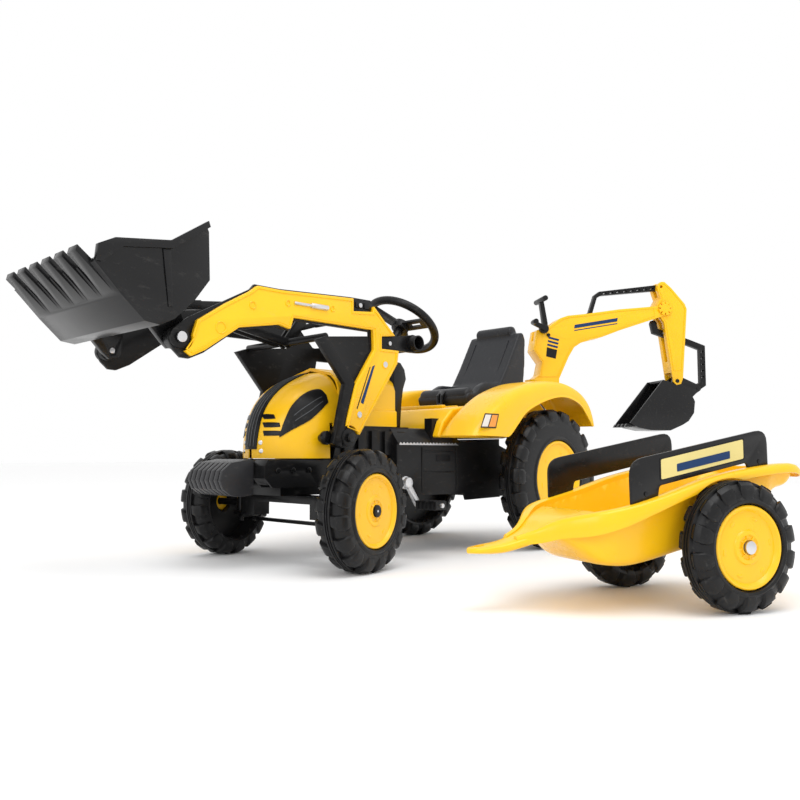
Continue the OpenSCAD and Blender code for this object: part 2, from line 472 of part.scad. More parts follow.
module digger_bucket() color(black) dig() {
  difference() {
    union() {
      slab(-52, 52) pts([[383, 466], [274, 333], [300, 320], [340, 312], [403, 311], [442, 328], [462, 340], [480, 365], [484, 400], [470, 430], [411, 457]]);
      both_sides() slab(10, 19) pts([[430, 455], [432, 470], [443, 479], [460, 478], [520, 452], [523, 438], [508, 428], [478, 400], [440, 430]]);
      for (y = [-39:26:39]) translate([0, y, 0]) slab(-6, 6) pts([[300, 322], [262, 322], [268, 332], [290, 340]]);
    }
    slab(-47, 47) pts([[380, 480], [260, 333], [302, 326], [342, 318], [402, 317], [438, 333], [456, 344], [474, 367], [477, 398], [464, 425], [410, 449], [386, 459]]);
    slab(-9.6, 9.6) pts([[480, 400], [480, 480], [540, 480], [540, 400]]);
    difference() { slab(-19.5, 19.5) pts([[425, 448], [425, 490], [470, 490], [470, 460], [455, 444], [440, 440]]); both_sides() slab(10, 19) pts([[400, 400], [400, 500], [540, 500], [540, 400]]); }
  }
  cross(443, 465, 6, -27, 27);
  cross(513, 443, 5, -21, 21);
}

// ---------- trailer, drawn with its axle over the origin and its tongue along +X, then placed ----------
tub_side = [[372, 90], [386, 96], [372, 102], [330, 108], [290, 122], [262, 140], [230, 152], [174, 166], [120, 180], [40, 203], [-40, 218], [-130, 226], [-166, 218], [-172, 206], [-160, 186], [-110, 176],
  [-104, 122], [-60, 112], [66, 84], [150, 68], [204, 72], [226, 90], [264, 112], [300, 98], [340, 88]];
module trailer_tub() color(yellow) row() trailer_place() difference() {
  union() {
    intersection() {
      slab(-118, 118) pts(tub_side);
      union() {
        linear_extrude(400) pts([[386, -12], [372, -20], [330, -22], [286, -34], [246, -74], [210, -98], [186, -104], [186, 104], [210, 98], [246, 74], [286, 34], [330, 22], [372, 20], [386, 12]]);
        bar(-180, 187) pts([[-104, 160], [-90, 60], [90, 60], [104, 160], [104, 300], [-104, 300]]);
      }
    }
    // wavy rolled lip
    intersection() {
      slab(-126, 126) pts([[250, 130], [250, 146], [174, 162], [120, 176], [40, 199], [-40, 214], [-130, 222], [-166, 216], [-172, 206], [-168, 200], [-128, 207], [-40, 202], [36, 188], [116, 165], [170, 148]]);
      linear_extrude(400) pts([[252, -50], [236, -90], [200, -112], [150, -120], [0, -123], [-130, -122], [-160, -110], [-172, -84], [-172, 84], [-160, 110], [-130, 122], [0, 123], [150, 120], [200, 112], [236, 90], [252, 50]]);
    }
    translate([372, 0, 89.5]) cylinder(r = 20, h = 13);
  }
  intersection() {
    slab(-97, 97) pts([[216, 200], [212, 110], [198, 80], [150, 76], [68, 92], [-58, 120], [-98, 128], [-104, 180], [-150, 198], [-160, 250], [240, 250]]);
    bar(-190, 220) pts([[-97, 160], [-83, 60], [83, 60], [97, 160], [97, 300], [-97, 300]]);
  }
  translate([372, 0, 50]) cylinder(r = 8, h = 100);
  cross(0, trailer_r, 7.2, -200, 200);
  both_sides() cross(0, trailer_r, trailer_r + 3, 105.5, 200); // wheel clearance in the lip
}
module trailer_panels() color(black) row() trailer_place() both_sides() slab(104.4, 109.4) difference() {
  pts([[176, 162], [178, 212], [170, 226], [156, 234], [-56, 274], [-76, 272], [-88, 260], [-92, 219], [-50, 215.4], [-47, 224], [124, 190], [127, 174.8]]);
  translate([150, 180]) circle(2.5); translate([-72, 226]) circle(2.5);
}
module trailer_axle() color(steel) row() trailer_place() {
  cross(0, trailer_r, 6, -155, 155);
  cross(0, trailer_r, 7, -97, 97);
  both_sides() { cross(0, trailer_r, 10, 154.8, 158.5); cross(0, trailer_r, 9, 104, 108.6); }
}

chassis();
front_carrier();
front_weight();
front_axle_beam();
frame_bolts();
hood();
grille_inserts();
cowl();
dash_panel();
fender_unit();
seat();
seat_strap();
loader_pins();
drive_chain();
digger_post();
hitch_bracket();
crank();
chainring();
pedal_left();
pedal_right();
rear_axle();
rear_sprocket();
rear_tyre_left();
rear_tyre_right();
rear_rim_left();
rear_rim_right();
steering_wheel();
steering_shaft();
knuckle_left();
knuckle_right();
tie_rod();
front_tyre_left();
front_tyre_right();
front_rim_left();
front_rim_right();
loader_frame();
loader_cover_left();
loader_cover_right();
loader_tubes();
loader_bolts();
loader_bucket();
tilt_lever();
tilt_rod();
digger_boom();
digger_stick();
stick_caps();
stick_lever();
stick_link();
bucket_lever();
bucket_link();
digger_bucket();
trailer_tub();
trailer_panels();
trailer_axle();
trailer_tyre_left();
trailer_tyre_right();
trailer_rim_left();
trailer_rim_right();
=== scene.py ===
# %% [markdown]
# # A pedal tractor with a loader, a digger and a trailer
# The tractor is a child's ride-on toy, blow moulded and injection moulded in yellow and black plastic,
# with zinc plated bolts. The design already fixes every size and every joint. This lesson gives the
# same parts their rounded edges, raised borders, tread blocks and finishes.

import json
import math

import bpy
from mathutils import Matrix, Vector


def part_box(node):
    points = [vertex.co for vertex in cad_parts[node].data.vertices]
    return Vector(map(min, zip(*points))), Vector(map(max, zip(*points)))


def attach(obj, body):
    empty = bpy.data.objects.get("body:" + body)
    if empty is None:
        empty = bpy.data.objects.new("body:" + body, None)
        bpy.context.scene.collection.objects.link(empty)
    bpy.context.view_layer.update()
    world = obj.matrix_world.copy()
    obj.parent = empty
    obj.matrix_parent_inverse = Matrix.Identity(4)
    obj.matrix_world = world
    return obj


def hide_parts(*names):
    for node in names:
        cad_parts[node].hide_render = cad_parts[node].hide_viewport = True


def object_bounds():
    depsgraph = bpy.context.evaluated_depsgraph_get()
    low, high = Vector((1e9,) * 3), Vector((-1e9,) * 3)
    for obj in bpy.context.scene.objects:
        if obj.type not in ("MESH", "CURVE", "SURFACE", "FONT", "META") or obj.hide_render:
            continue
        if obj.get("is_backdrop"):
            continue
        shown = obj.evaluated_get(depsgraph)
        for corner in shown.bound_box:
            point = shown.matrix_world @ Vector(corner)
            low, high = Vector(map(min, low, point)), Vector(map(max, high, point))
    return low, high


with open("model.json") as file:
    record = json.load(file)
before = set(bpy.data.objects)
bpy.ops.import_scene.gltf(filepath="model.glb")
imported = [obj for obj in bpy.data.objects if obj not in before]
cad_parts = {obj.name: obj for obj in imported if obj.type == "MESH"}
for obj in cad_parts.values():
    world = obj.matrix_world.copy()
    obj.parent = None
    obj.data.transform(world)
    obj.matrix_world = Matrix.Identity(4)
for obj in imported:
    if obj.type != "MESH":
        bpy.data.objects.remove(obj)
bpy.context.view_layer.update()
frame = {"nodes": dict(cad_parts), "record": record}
BODY_OF = {node: body for body, nodes in frame["record"]["behaviour"]["bodies"].items() for node in nodes}
JOINTS = {joint["name"]: joint for joint in frame["record"]["behaviour"]["joints"]}
print("nodes in the frame:", len(frame["nodes"]))

# %% [markdown]
# ## Three drawing boards
# The tractor, the digger and the trailer were each drawn straight ahead, in millimetres, and then put
# in place. Drawing the visible pieces on the same three boards keeps their numbers simple. Each board
# is one matrix that turns and moves a finished mesh and makes it metres, and its place comes from the
# design's own joints.

# %% Drawing boards
MM = 0.001
SIDES = (("left", 1), ("right", -1))


def middle(node):
    low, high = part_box(node)
    return (low + high) / 2


def board(origin, heading=0.0):
    """A drawing board in millimetres, standing at origin and turned to heading."""
    return Matrix.Translation(origin) @ Matrix.Rotation(heading, 4, "Z") @ Matrix.Scale(MM, 4)


beam = middle("front_axle_beam")
TRACTOR = board((beam.x, beam.y, 0))
post = Vector(JOINTS["digger_swing"]["pos_m"])
stick_hinge = Vector(JOINTS["stick_swing"]["pos_m"])
DIGGER = board((post.x, post.y, 0), math.atan2(stick_hinge.y - post.y, stick_hinge.x - post.x))
left_hub = Vector(JOINTS["trailer_left_spin"]["pos_m"])
right_hub = Vector(JOINTS["trailer_right_spin"]["pos_m"])
across = left_hub - right_hub
hub_middle = (left_hub + right_hub) / 2
TRAILER = board((hub_middle.x, hub_middle.y, 0), math.atan2(-across.x, across.y))
print("tractor board at", [round(value, 3) for value in TRACTOR.translation])

# %% [markdown]
# ## Small workshop helpers
# Every operator works on what is selected, so each helper first clears the selection. A modifier is
# added, set and applied at once, which leaves a plain mesh.

# %% Selection and modifiers
def clear():
    if bpy.context.object and bpy.context.object.mode != "OBJECT":
        bpy.ops.object.mode_set(mode="OBJECT")
    bpy.ops.object.select_all(action="DESELECT")


def pick(piece):
    clear()
    piece.select_set(True)
    bpy.context.view_layer.objects.active = piece
    return piece


def edit(piece):
    pick(piece)
    bpy.ops.object.mode_set(mode="EDIT")
    bpy.ops.mesh.select_all(action="SELECT")


def done():
    bpy.ops.object.mode_set(mode="OBJECT")


def apply_modifier(piece, kind, **settings):
    pick(piece)
    modifier = piece.modifiers.new(kind.title(), kind)
    for name, value in settings.items():
        setattr(modifier, name, value)
    bpy.ops.object.modifier_apply(modifier=modifier.name)
    return piece


def rounded(piece, width, segments=2, angle=32):
    """Rounds every edge sharper than angle."""
    return apply_modifier(piece, "BEVEL", width=width, segments=segments, limit_method="ANGLE",
                          angle_limit=math.radians(angle))


def settled(piece, place):
    """Writes a board's place into the mesh, so that the object stays at the origin."""
    piece.data.transform(place)
    piece.matrix_world = Matrix.Identity(4)
    return piece


# %% Shapes drawn on a board
MERGE_GAP = 0.02  # corners closer than this, in millimetres, become one


def closed_outline(name, points):
    """A flat face with the given corners, in X and Z."""
    clear()
    bpy.ops.mesh.primitive_circle_add(vertices=len(points), fill_type="NGON")
    piece = bpy.context.object
    piece.name = name
    for corner, (x, z) in zip(piece.data.vertices, points):
        corner.co = (x, 0, z)
    return piece


def plate(name, points, y0, y1):
    """An outline in X and Z, drawn out from y0 to y1."""
    piece = closed_outline(name, points)
    piece.data.transform(Matrix.Translation((0, y0, 0)))
    edit(piece)
    bpy.ops.mesh.extrude_region_move(TRANSFORM_OT_translate={"value": (0, y1 - y0, 0)})
    bpy.ops.mesh.select_all(action="SELECT")
    bpy.ops.mesh.normals_make_consistent(inside=False)
    done()
    return piece


def spun(name, profile, steps):
    """A closed outline of radius and height pairs, spun round the Z axis."""
    clear()
    bpy.ops.mesh.primitive_circle_add(vertices=len(profile), fill_type="NOTHING")
    piece = bpy.context.object
    piece.name = name
    for corner, (radius, height) in zip(piece.data.vertices, profile):
        corner.co = (radius, 0, height)
    edit(piece)
    bpy.ops.mesh.spin(steps=steps, angle=math.tau, center=(0, 0, 0), axis=(0, 0, 1))
    bpy.ops.mesh.select_all(action="SELECT")
    bpy.ops.mesh.remove_doubles(threshold=MERGE_GAP)
    bpy.ops.mesh.normals_make_consistent(inside=False)
    done()
    return piece


def shaped_grid(name, columns, rows, shape):
    """A grid whose corners are moved to shape(u, v), with u and v from 0 to 1."""
    clear()
    bpy.ops.mesh.primitive_grid_add(x_subdivisions=columns, y_subdivisions=rows, size=2)
    piece = bpy.context.object
    piece.name = name
    for corner in piece.data.vertices:
        corner.co = shape((corner.co.x + 1) / 2, (corner.co.y + 1) / 2)
    return piece


def round_bar(name, steps, radius, length, centre, turn):
    """A round bar about a centre, turned by three angles."""
    clear()
    bpy.ops.mesh.primitive_cylinder_add(vertices=steps, radius=radius, depth=length, location=centre,
                                        rotation=turn)
    piece = bpy.context.object
    piece.name = name
    bpy.ops.object.transform_apply(location=True, rotation=True, scale=True)
    return piece


def cleaned(piece, merge=True, fill=False):
    """Merges corners that meet, closes holes if asked, and turns the faces outwards."""
    edit(piece)
    if merge:
        bpy.ops.mesh.remove_doubles(threshold=MERGE_GAP)
    if fill:
        bpy.ops.mesh.fill_holes(sides=0)
    bpy.ops.mesh.normals_make_consistent(inside=False)
    done()
    return piece


def chosen_faces(piece, wanted):
    """Selects only the faces for which wanted(face) holds, and stays in edit mode."""
    edit(piece)
    bpy.ops.mesh.select_mode(type="FACE")
    bpy.ops.mesh.select_all(action="DESELECT")
    done()
    for face in piece.data.polygons:
        face.select = wanted(face)
    bpy.ops.object.mode_set(mode="EDIT")


def pointing(direction):
    """A turn that makes a piece's Z axis point in a direction."""
    return Vector(direction).to_track_quat("Z", "Y").to_matrix().to_4x4()


def joined(name, pieces):
    clear()
    for piece in pieces:
        piece.select_set(True)
    bpy.context.view_layer.objects.active = pieces[0]
    bpy.ops.object.join()
    pieces[0].name = name
    return pieces[0]


def copied(piece, name, place):
    """A copy with its own mesh, moved by a matrix."""
    twin = bpy.data.objects.new(name, piece.data.copy())
    bpy.context.collection.objects.link(twin)
    twin.data.transform(place)
    if place.determinant() < 0:
        twin.data.flip_normals()
    return twin


def removed(piece):
    bpy.data.objects.remove(piece)


# %% A smooth line through a few points
def smooth_line(points):
    """A function of the first number that runs smoothly through the given pairs."""
    points = sorted(points)

    def value(x):
        x = min(max(x, points[0][0]), points[-1][0])
        k = 0
        while k < len(points) - 2 and x > points[k + 1][0]:
            k += 1
        (x0, y0), (x1, y1) = points[k], points[k + 1]
        before = points[max(k - 1, 0)]
        after = points[min(k + 2, len(points) - 1)]
        t = (x - x0) / (x1 - x0)
        slope0 = (y1 - before[1]) / (x1 - before[0]) * (x1 - x0)
        slope1 = (after[1] - y0) / (after[0] - x0) * (x1 - x0)
        return ((2 * t**3 - 3 * t**2 + 1) * y0 + (t**3 - 2 * t**2 + t) * slope0
                + (3 * t**2 - 2 * t**3) * y1 + (t**3 - t**2) * slope1)

    return value


def along_path(points):
    """A function of 0 to 1 that runs smoothly along a path of points, by its length."""
    points = [Vector(point) for point in points]
    lengths = [0.0]
    for a, b in zip(points, points[1:]):
        lengths.append(lengths[-1] + (b - a).length)
    shares = [length / lengths[-1] for length in lengths]
    lines = [smooth_line([(s, p[k]) for s, p in zip(shares, points)]) for k in range(len(points[0]))]
    return lambda t: Vector([line(t) for line in lines])


# %% [markdown]
# ## Finishes
# Moulded plastic is never one flat colour: the resin flows unevenly, the tool leaves a fine grain, and
# handling leaves faint scuffs that are duller than the skin around them. One node group makes all of
# that, and each finish places it with its own colours and strengths.

# %% The moulded surface group
def add_node(tree, kind, values=(), **settings):
    node = tree.nodes.new(kind)
    for name, value in settings.items():
        setattr(node, name, value)
    for socket, value in dict(values).items():
        node.inputs[socket].default_value = value
    return node


def moulded_group():
    tree = bpy.data.node_groups.new("moulded_surface", "ShaderNodeTree")
    for name, kind in (("Colour", "NodeSocketColor"), ("Roughness", "NodeSocketFloat"),
                       ("Variation", "NodeSocketFloat"), ("Scuffs", "NodeSocketFloat"),
                       ("Grain scale", "NodeSocketFloat")):
        tree.interface.new_socket(name, in_out="INPUT", socket_type=kind)
    for name, kind in (("Colour", "NodeSocketColor"), ("Roughness", "NodeSocketFloat"),
                       ("Height", "NodeSocketFloat")):
        tree.interface.new_socket(name, in_out="OUTPUT", socket_type=kind)
    link = tree.links.new
    start = add_node(tree, "NodeGroupInput")
    end = add_node(tree, "NodeGroupOutput")
    place = add_node(tree, "ShaderNodeTexCoord")
    flow = add_node(tree, "ShaderNodeTexNoise", {"Scale": 7.0, "Detail": 4.0, "Roughness": 0.6})
    grain = add_node(tree, "ShaderNodeTexNoise", {"Detail": 2.0})
    stretch = add_node(tree, "ShaderNodeMapping", {"Scale": (16.0, 70.0, 40.0), "Rotation": (0.3, 0.7, 0.5)})
    scuff = add_node(tree, "ShaderNodeTexNoise", {"Scale": 2.2, "Detail": 6.0, "Roughness": 0.72})
    for node in (flow, grain, stretch):
        link(place.outputs["Object"], node.inputs["Vector"])
    link(stretch.outputs["Vector"], scuff.inputs["Vector"])
    link(start.outputs["Grain scale"], grain.inputs["Scale"])
    # light and dark flow marks in the resin
    swing = add_node(tree, "ShaderNodeMapRange",
                     {"From Min": 0.3, "From Max": 0.7, "To Min": -1.0, "To Max": 1.0})
    link(flow.outputs["Fac"], swing.inputs["Value"])
    amount = add_node(tree, "ShaderNodeMath", operation="MULTIPLY")
    link(swing.outputs["Result"], amount.inputs[0])
    link(start.outputs["Variation"], amount.inputs[1])
    lift = add_node(tree, "ShaderNodeMath", {1: 1.0}, operation="ADD")
    link(amount.outputs[0], lift.inputs[0])
    tone = add_node(tree, "ShaderNodeHueSaturation")
    link(start.outputs["Colour"], tone.inputs["Color"])
    link(lift.outputs[0], tone.inputs["Value"])
    # scuffs are a little paler and duller
    marks = add_node(tree, "ShaderNodeMapRange", {"From Min": 0.57, "From Max": 0.72})
    link(scuff.outputs["Fac"], marks.inputs["Value"])
    worn = add_node(tree, "ShaderNodeMath", operation="MULTIPLY")
    link(marks.outputs["Result"], worn.inputs[0])
    link(start.outputs["Scuffs"], worn.inputs[1])
    paler = add_node(tree, "ShaderNodeMix", data_type="RGBA")
    share = add_node(tree, "ShaderNodeMath", {1: 0.22}, operation="MULTIPLY")
    link(worn.outputs[0], share.inputs[0])
    link(share.outputs[0], paler.inputs["Factor"])
    link(tone.outputs["Color"], paler.inputs[6])
    paler.inputs[7].default_value = (0.42, 0.4, 0.37, 1.0)
    link(paler.outputs[2], end.inputs["Colour"])
    duller = add_node(tree, "ShaderNodeMath", {1: 0.25}, operation="MULTIPLY_ADD")
    link(worn.outputs[0], duller.inputs[0])
    link(start.outputs["Roughness"], duller.inputs[2])
    spread = add_node(tree, "ShaderNodeMath", {1: 0.06}, operation="MULTIPLY_ADD")
    link(swing.outputs["Result"], spread.inputs[0])
    link(duller.outputs[0], spread.inputs[2])
    link(spread.outputs[0], end.inputs["Roughness"])
    link(grain.outputs["Fac"], end.inputs["Height"])
    return tree


MOULDED = moulded_group()
print("group:", MOULDED.name)


# %% The finishes
YELLOW = "yellow_moulding"
BLACK = "black_moulding"
FINISHES = {}


def make_finish(name, slot, colour, roughness, variation=0.05, scuffs=0.4, grain=1400.0, bump=0.06,
                metallic=0.0, coat=0.0, gloss=0.25):
    """A named finish on the moulded surface group, kept with the slot it fills."""
    material = bpy.data.materials.new(name)
    material.use_nodes = True
    tree = material.node_tree
    shader = tree.nodes["Principled BSDF"]
    surface = add_node(tree, "ShaderNodeGroup")
    surface.node_tree = MOULDED
    surface.inputs["Colour"].default_value = (*colour, 1.0)
    surface.inputs["Roughness"].default_value = roughness
    surface.inputs["Variation"].default_value = variation
    surface.inputs["Scuffs"].default_value = scuffs
    surface.inputs["Grain scale"].default_value = grain
    relief = add_node(tree, "ShaderNodeBump", {"Strength": bump, "Distance": 0.0006})
    tree.links.new(surface.outputs["Colour"], shader.inputs["Base Color"])
    tree.links.new(surface.outputs["Roughness"], shader.inputs["Roughness"])
    tree.links.new(surface.outputs["Height"], relief.inputs["Height"])
    tree.links.new(relief.outputs["Normal"], shader.inputs["Normal"])
    shader.inputs["Metallic"].default_value = metallic
    shader.inputs["Specular IOR Level"].default_value = gloss
    shader.inputs["Coat Weight"].default_value = coat
    shader.inputs["Coat Roughness"].default_value = 0.12
    FINISHES[name] = (material, slot)


make_finish(YELLOW, "yellow_plastic", (0.95, 0.53, 0.006), 0.3, 0.04, 0.25, 900.0, 0.035,
            coat=0.15, gloss=0.35)
make_finish(BLACK, "black_plastic", (0.006, 0.006, 0.0065), 0.34, 0.12, 0.3, 1500.0, 0.08)
make_finish("black_gloss", "black_plastic", (0.006, 0.006, 0.0065), 0.22, 0.08, 0.2, 700.0, 0.03, gloss=0.32)
make_finish("seat_moulding", "grey_plastic", (0.02, 0.021, 0.024), 0.36, 0.1, 0.3, 1700.0, 0.14)
make_finish("weight_moulding", "grey_plastic", (0.022, 0.022, 0.024), 0.36, 0.1, 0.3, 1300.0, 0.12)
make_finish("tyre_moulding", "tyre_plastic", (0.007, 0.007, 0.0075), 0.36, 0.14, 0.35, 1100.0, 0.16)
make_finish("zinc", "steel", (0.66, 0.66, 0.67), 0.3, 0.1, 0.5, 2200.0, 0.08, metallic=1.0, gloss=0.5)
make_finish("stripe_blue", "black_plastic", (0.006, 0.035, 0.12), 0.35, 0.05, 0.2)
make_finish("label_black", "black_plastic", (0.006, 0.006, 0.007), 0.3, 0.05, 0.2)
make_finish("label_pale", "yellow_plastic", (0.74, 0.62, 0.24), 0.33, 0.05, 0.2)
make_finish("lamp_white", "yellow_plastic", (0.78, 0.74, 0.68), 0.28, 0.05, 0.2)
make_finish("lamp_orange", "yellow_plastic", (0.85, 0.33, 0.06), 0.28, 0.05, 0.2)
make_finish("button_red", "black_plastic", (0.6, 0.02, 0.015), 0.3, 0.05, 0.2)
make_finish("grille_line", "grey_plastic", (0.09, 0.095, 0.1), 0.35, 0.05, 0.2)
print("finishes:", ", ".join(FINISHES))


# %% Handing a finished piece over
MADE = []


def handed_over(piece, finish, body, stands_for=(), smooth=32):
    """Shades a piece, gives it its finish and ties it to the body that it rides on."""
    pick(piece)
    bpy.ops.object.shade_smooth_by_angle(angle=math.radians(smooth))
    material, slot = FINISHES[finish]
    piece.data.materials.clear()
    piece.data.materials.append(material)
    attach(piece, body)
    if stands_for:
        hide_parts(*stands_for)
    MADE.append(piece.name)
    return piece


def flat_piece(name, points, sign, levels, finish, body, place, edge=(), stands_for=()):
    """A plate between two levels in Y, on the right at sign -1, with its edges rounded by edge."""
    piece = plate(name, points, sign * levels[0], sign * levels[1])
    if edge:
        rounded(piece, *edge)
    return handed_over(settled(piece, place), finish, body, stands_for)


def knob(name, outline, steps, spot, direction, finish, body, place):
    """A small spun piece that stands at a spot on a board and points in a direction."""
    piece = spun(name, outline, steps)
    piece.data.transform(Matrix.Translation(spot) @ pointing(direction))
    return handed_over(settled(piece, place), finish, body)


# %% [markdown]
# ## Rounding the designed parts
# Frames, links, levers and bolts already have their true shape, but a moulding has no knife edges. A
# copy of each is merged into whole faces and gets a small rounded edge, which catches the light.

# %% Copy a designed part and round it
def merged_copy(node, name):
    piece = bpy.data.objects.new(name, frame["nodes"][node].data.copy())
    bpy.context.collection.objects.link(piece)
    edit(piece)
    bpy.ops.mesh.remove_doubles(threshold=0.00002)
    bpy.ops.mesh.dissolve_limited(angle_limit=math.radians(1))
    done()
    return piece


BEAD_INSET = 3.5
BEAD_WIDTH = 2.6
BEAD_HEIGHT = 1.3
BEAD_ROOT = 0.6


def beading(name, outline, y, body, place):
    """A raised line that follows an outline, set in from its edge, on the plane at y."""
    corners = [Vector(corner) for corner in outline]
    area = sum(a.x * b.y - b.x * a.y for a, b in zip(corners, corners[1:] + corners[:1]))
    inwards = []
    for k, corner in enumerate(corners):
        before = (corner - corners[k - 1]).normalized()
        after = (corners[(k + 1) % len(corners)] - corner).normalized()
        across = (before + after).normalized()
        square = Vector((-across.y, across.x)) * math.copysign(1, area)
        inwards.append(square / max(0.55, abs(before.dot(across))))
    sign = math.copysign(1, y)
    near, far = BEAD_INSET, BEAD_INSET + BEAD_WIDTH
    root, crest = y - sign * BEAD_ROOT, y + sign * BEAD_HEIGHT
    section = [(near, root), (near + 0.5, crest), (far - 0.5, crest), (far, root)]

    def shape(u, v):
        k = round(v * len(corners)) % len(corners)
        depth, level = section[round(u * 3)]
        spot = corners[k] + inwards[k] * depth
        return Vector((spot.x, level, spot.y))

    line = cleaned(shaped_grid(name, 3, len(corners), shape))
    if sum(face.normal.y * face.area for face in line.data.polygons) * sign < 0:
        line.data.flip_normals()
    return handed_over(settled(line, place), YELLOW, body, (), 30)


ROUNDED = {
    "chassis": (2.5, BLACK), "front_carrier": (2.0, BLACK),
    "front_axle_beam": (2.0, BLACK), "dash_panel": (5.0, "black_gloss"),
    "seat_strap": (1.2, "black_gloss"), "digger_post": (2.0, BLACK),
    "hitch_bracket": (1.5, BLACK), "pedal_left": (1.5, BLACK),
    "pedal_right": (1.5, BLACK), "steering_shaft": (1.5, BLACK),
    "knuckle_left": (1.2, BLACK), "knuckle_right": (1.2, BLACK),
    "tie_rod": (1.2, BLACK), "loader_tubes": (1.0, BLACK),
    "tilt_lever": (1.2, BLACK), "tilt_rod": (1.0, BLACK),
    "stick_lever": (2.0, BLACK), "bucket_lever": (2.0, BLACK),
    "frame_bolts": (0.8, "black_gloss"), "crank": (1.5, "zinc"), "chainring": (0.3, "zinc"),
    "rear_axle": (0.8, "zinc"), "rear_sprocket": (0.3, "zinc"), "drive_chain": (0.4, "zinc"),
    "loader_bolts": (0.8, "zinc"), "front_weight": (1.6, "weight_moulding"),
    "loader_pins": (1.2, "black_gloss"), "steering_wheel": (1.0, BLACK),
    "loader_frame": (1.2, BLACK), "stick_link": (0.9, BLACK),
    "bucket_link": (0.9, BLACK), "trailer_axle": (0.8, "zinc"), "cowl": (7.0, YELLOW),
    "stick_caps": (1.0, YELLOW),
}
for node, (width, finish) in ROUNDED.items():
    part = merged_copy(node, node + "_rounded")
    rounded(part, width * MM, 3 if width > 2 else 2)
    handed_over(part, finish, BODY_OF[node], [node])
print("rounded parts:", len(ROUNDED))

# %% [markdown]
# ## Wheels
# A blow-moulded tyre is one hollow ring: a grooved middle band, and a row of wide blocks on each side
# that wrap over the shoulder. The ring is spun from an outline, one block is modelled and copied round,
# and the second row is the first one turned over. The yellow disc is pressed into the tyre's face.

# %% Tyre ring and tread block
def tyre_ring(name, radius, width, rim):
    half = width / 2
    base = radius - radius * 0.055
    recess = radius * 0.7 if radius < 150 else radius * 0.79
    outline = [
        (rim + 0.3, half - 20), (rim + 0.6, half - 5), (rim + 3, half - 1), (rim + 7, half - 0.3),
        (rim + 10, half - 1.6), (rim + 12, half - 3.4), (base - 22, half - 2.2), (base - 10, half - 5),
        (base - 3, half - 11), (base, half - 17), (base, 9), (radius - 0.6, 8), (radius, 6.5), (radius, 4),
        (radius - 2.2, 3.2), (radius - 2.2, 1.8), (radius, 1), (radius, -1), (radius - 2.2, -1.8),
        (radius - 2.2, -3.2), (radius, -4), (radius, -6.5), (radius - 0.6, -8), (base, -9),
        (base, 17 - half), (base - 3, 11 - half), (base - 10, 5 - half), (base - 22, 2.2 - half),
        (recess + 6, 0.6 - half), (recess + 1, 3 - half), (recess - 2, 12 - half), (recess - 4, half - 30),
        (26, half - 30), (22, half - 27), (22, half - 20),
    ]
    return spun(name, outline, 96)


def tread_block(radius, width, count):
    half = width / 2
    step = math.tau / count
    base = radius * 0.945
    stations = [
        (6, base - 2, 0.24), (8.5, radius - 1, 0.26), (half * 0.55, radius, 0.3),
        (half - 13, radius - 1.5, 0.34), (half - 5, radius - 7, 0.36), (half - 0.6, radius - 17, 0.34),
        (half - 1, radius - 30, 0.24), (half - 5, radius - 33, 0.22),
    ]
    columns = [(-1.0, 1), (-0.82, 0), (-0.3, 0), (0.3, 0), (0.82, 0), (1.0, 1)]

    def shape(u, v):
        side, sunk = columns[round(u * 5)]
        height, reach, share = stations[round(v * 7)]
        if sunk:
            reach -= radius * 0.07
            height -= 3 if round(v * 7) > 4 else 0
        angle = side * share * step + 0.16 * step * (height / half)
        return reach * math.cos(angle), reach * math.sin(angle), height

    piece = cleaned(shaped_grid("tread_block", 5, 7, shape), merge=False)
    if sum(face.normal.dot(face.center) * face.area for face in piece.data.polygons) < 0:
        piece.data.flip_normals()
    return rounded(piece, 1.1, 2, 28)


def tyre(name, radius, width, rim, count):
    """A tyre with its axle along Z and its outer face up, in millimetres."""
    ring = tyre_ring(name, radius, width, rim)
    block = tread_block(radius, width, count)
    over = Matrix.Rotation(math.pi, 4, "X")
    rows = []
    for k in range(count):
        turn = Matrix.Rotation(math.tau * k / count, 4, "Z")
        half_turn = Matrix.Rotation(math.tau * (k + 0.5) / count, 4, "Z")
        rows += [copied(block, "block", turn), copied(block, "block", half_turn @ over)]
    removed(block)
    return joined(name, [ring] + rows)


# %% Wheel disc
def wheel_disc(name, radius, width):
    """The yellow disc: a rolled lip, a wide shallow dish, a stepped hub and small moulded marks."""
    half = width / 2
    face = half - 7.5
    outline = [
        (9, face - 10), (radius - 1, face - 10), (radius - 0.4, half - 4), (radius - 2.2, half - 2.4),
        (radius - 5, half - 2.6), (radius - 7.5, half - 5), (radius - 10, face - 0.8),
        (radius * 0.8, face - 0.4), (radius * 0.56, face), (radius * 0.42, face + 0.3),
        (radius * 0.39, face + 2.6), (radius * 0.3, face + 3), (radius * 0.27, face + 1),
        (radius * 0.2, face + 1), (radius * 0.185, face + 3.4), (13, face + 3.4), (11.5, face + 1.2),
        (9, face + 1.2),
    ]
    disc = spun(name, outline, 72)
    marks = []
    for k in range(6):
        clear()
        bpy.ops.mesh.primitive_uv_sphere_add(segments=16, ring_count=8, radius=1)
        mark = bpy.context.object
        place = Matrix.Rotation(math.tau * k / 6, 4, "Z") @ Matrix.Translation((radius * 0.7, 0, face - 0.5))
        mark.data.transform(place @ Matrix.Diagonal((radius * 0.045, radius * 0.09, 1.7, 1)))
        marks.append(mark)
    rib = [(radius * 0.21, -1), (radius * 0.3, -1), (radius * 0.3, 1.2), (radius * 0.21, 1.2)]
    for k in range(8):
        mark = plate("rib", rib, -1.2, 1.2)
        place = Matrix.Rotation(math.tau * k / 8, 4, "Z") @ Matrix.Translation((0, 0, face + 1.2))
        mark.data.transform(place)
        marks.append(mark)
    return joined(name, [disc] + marks)


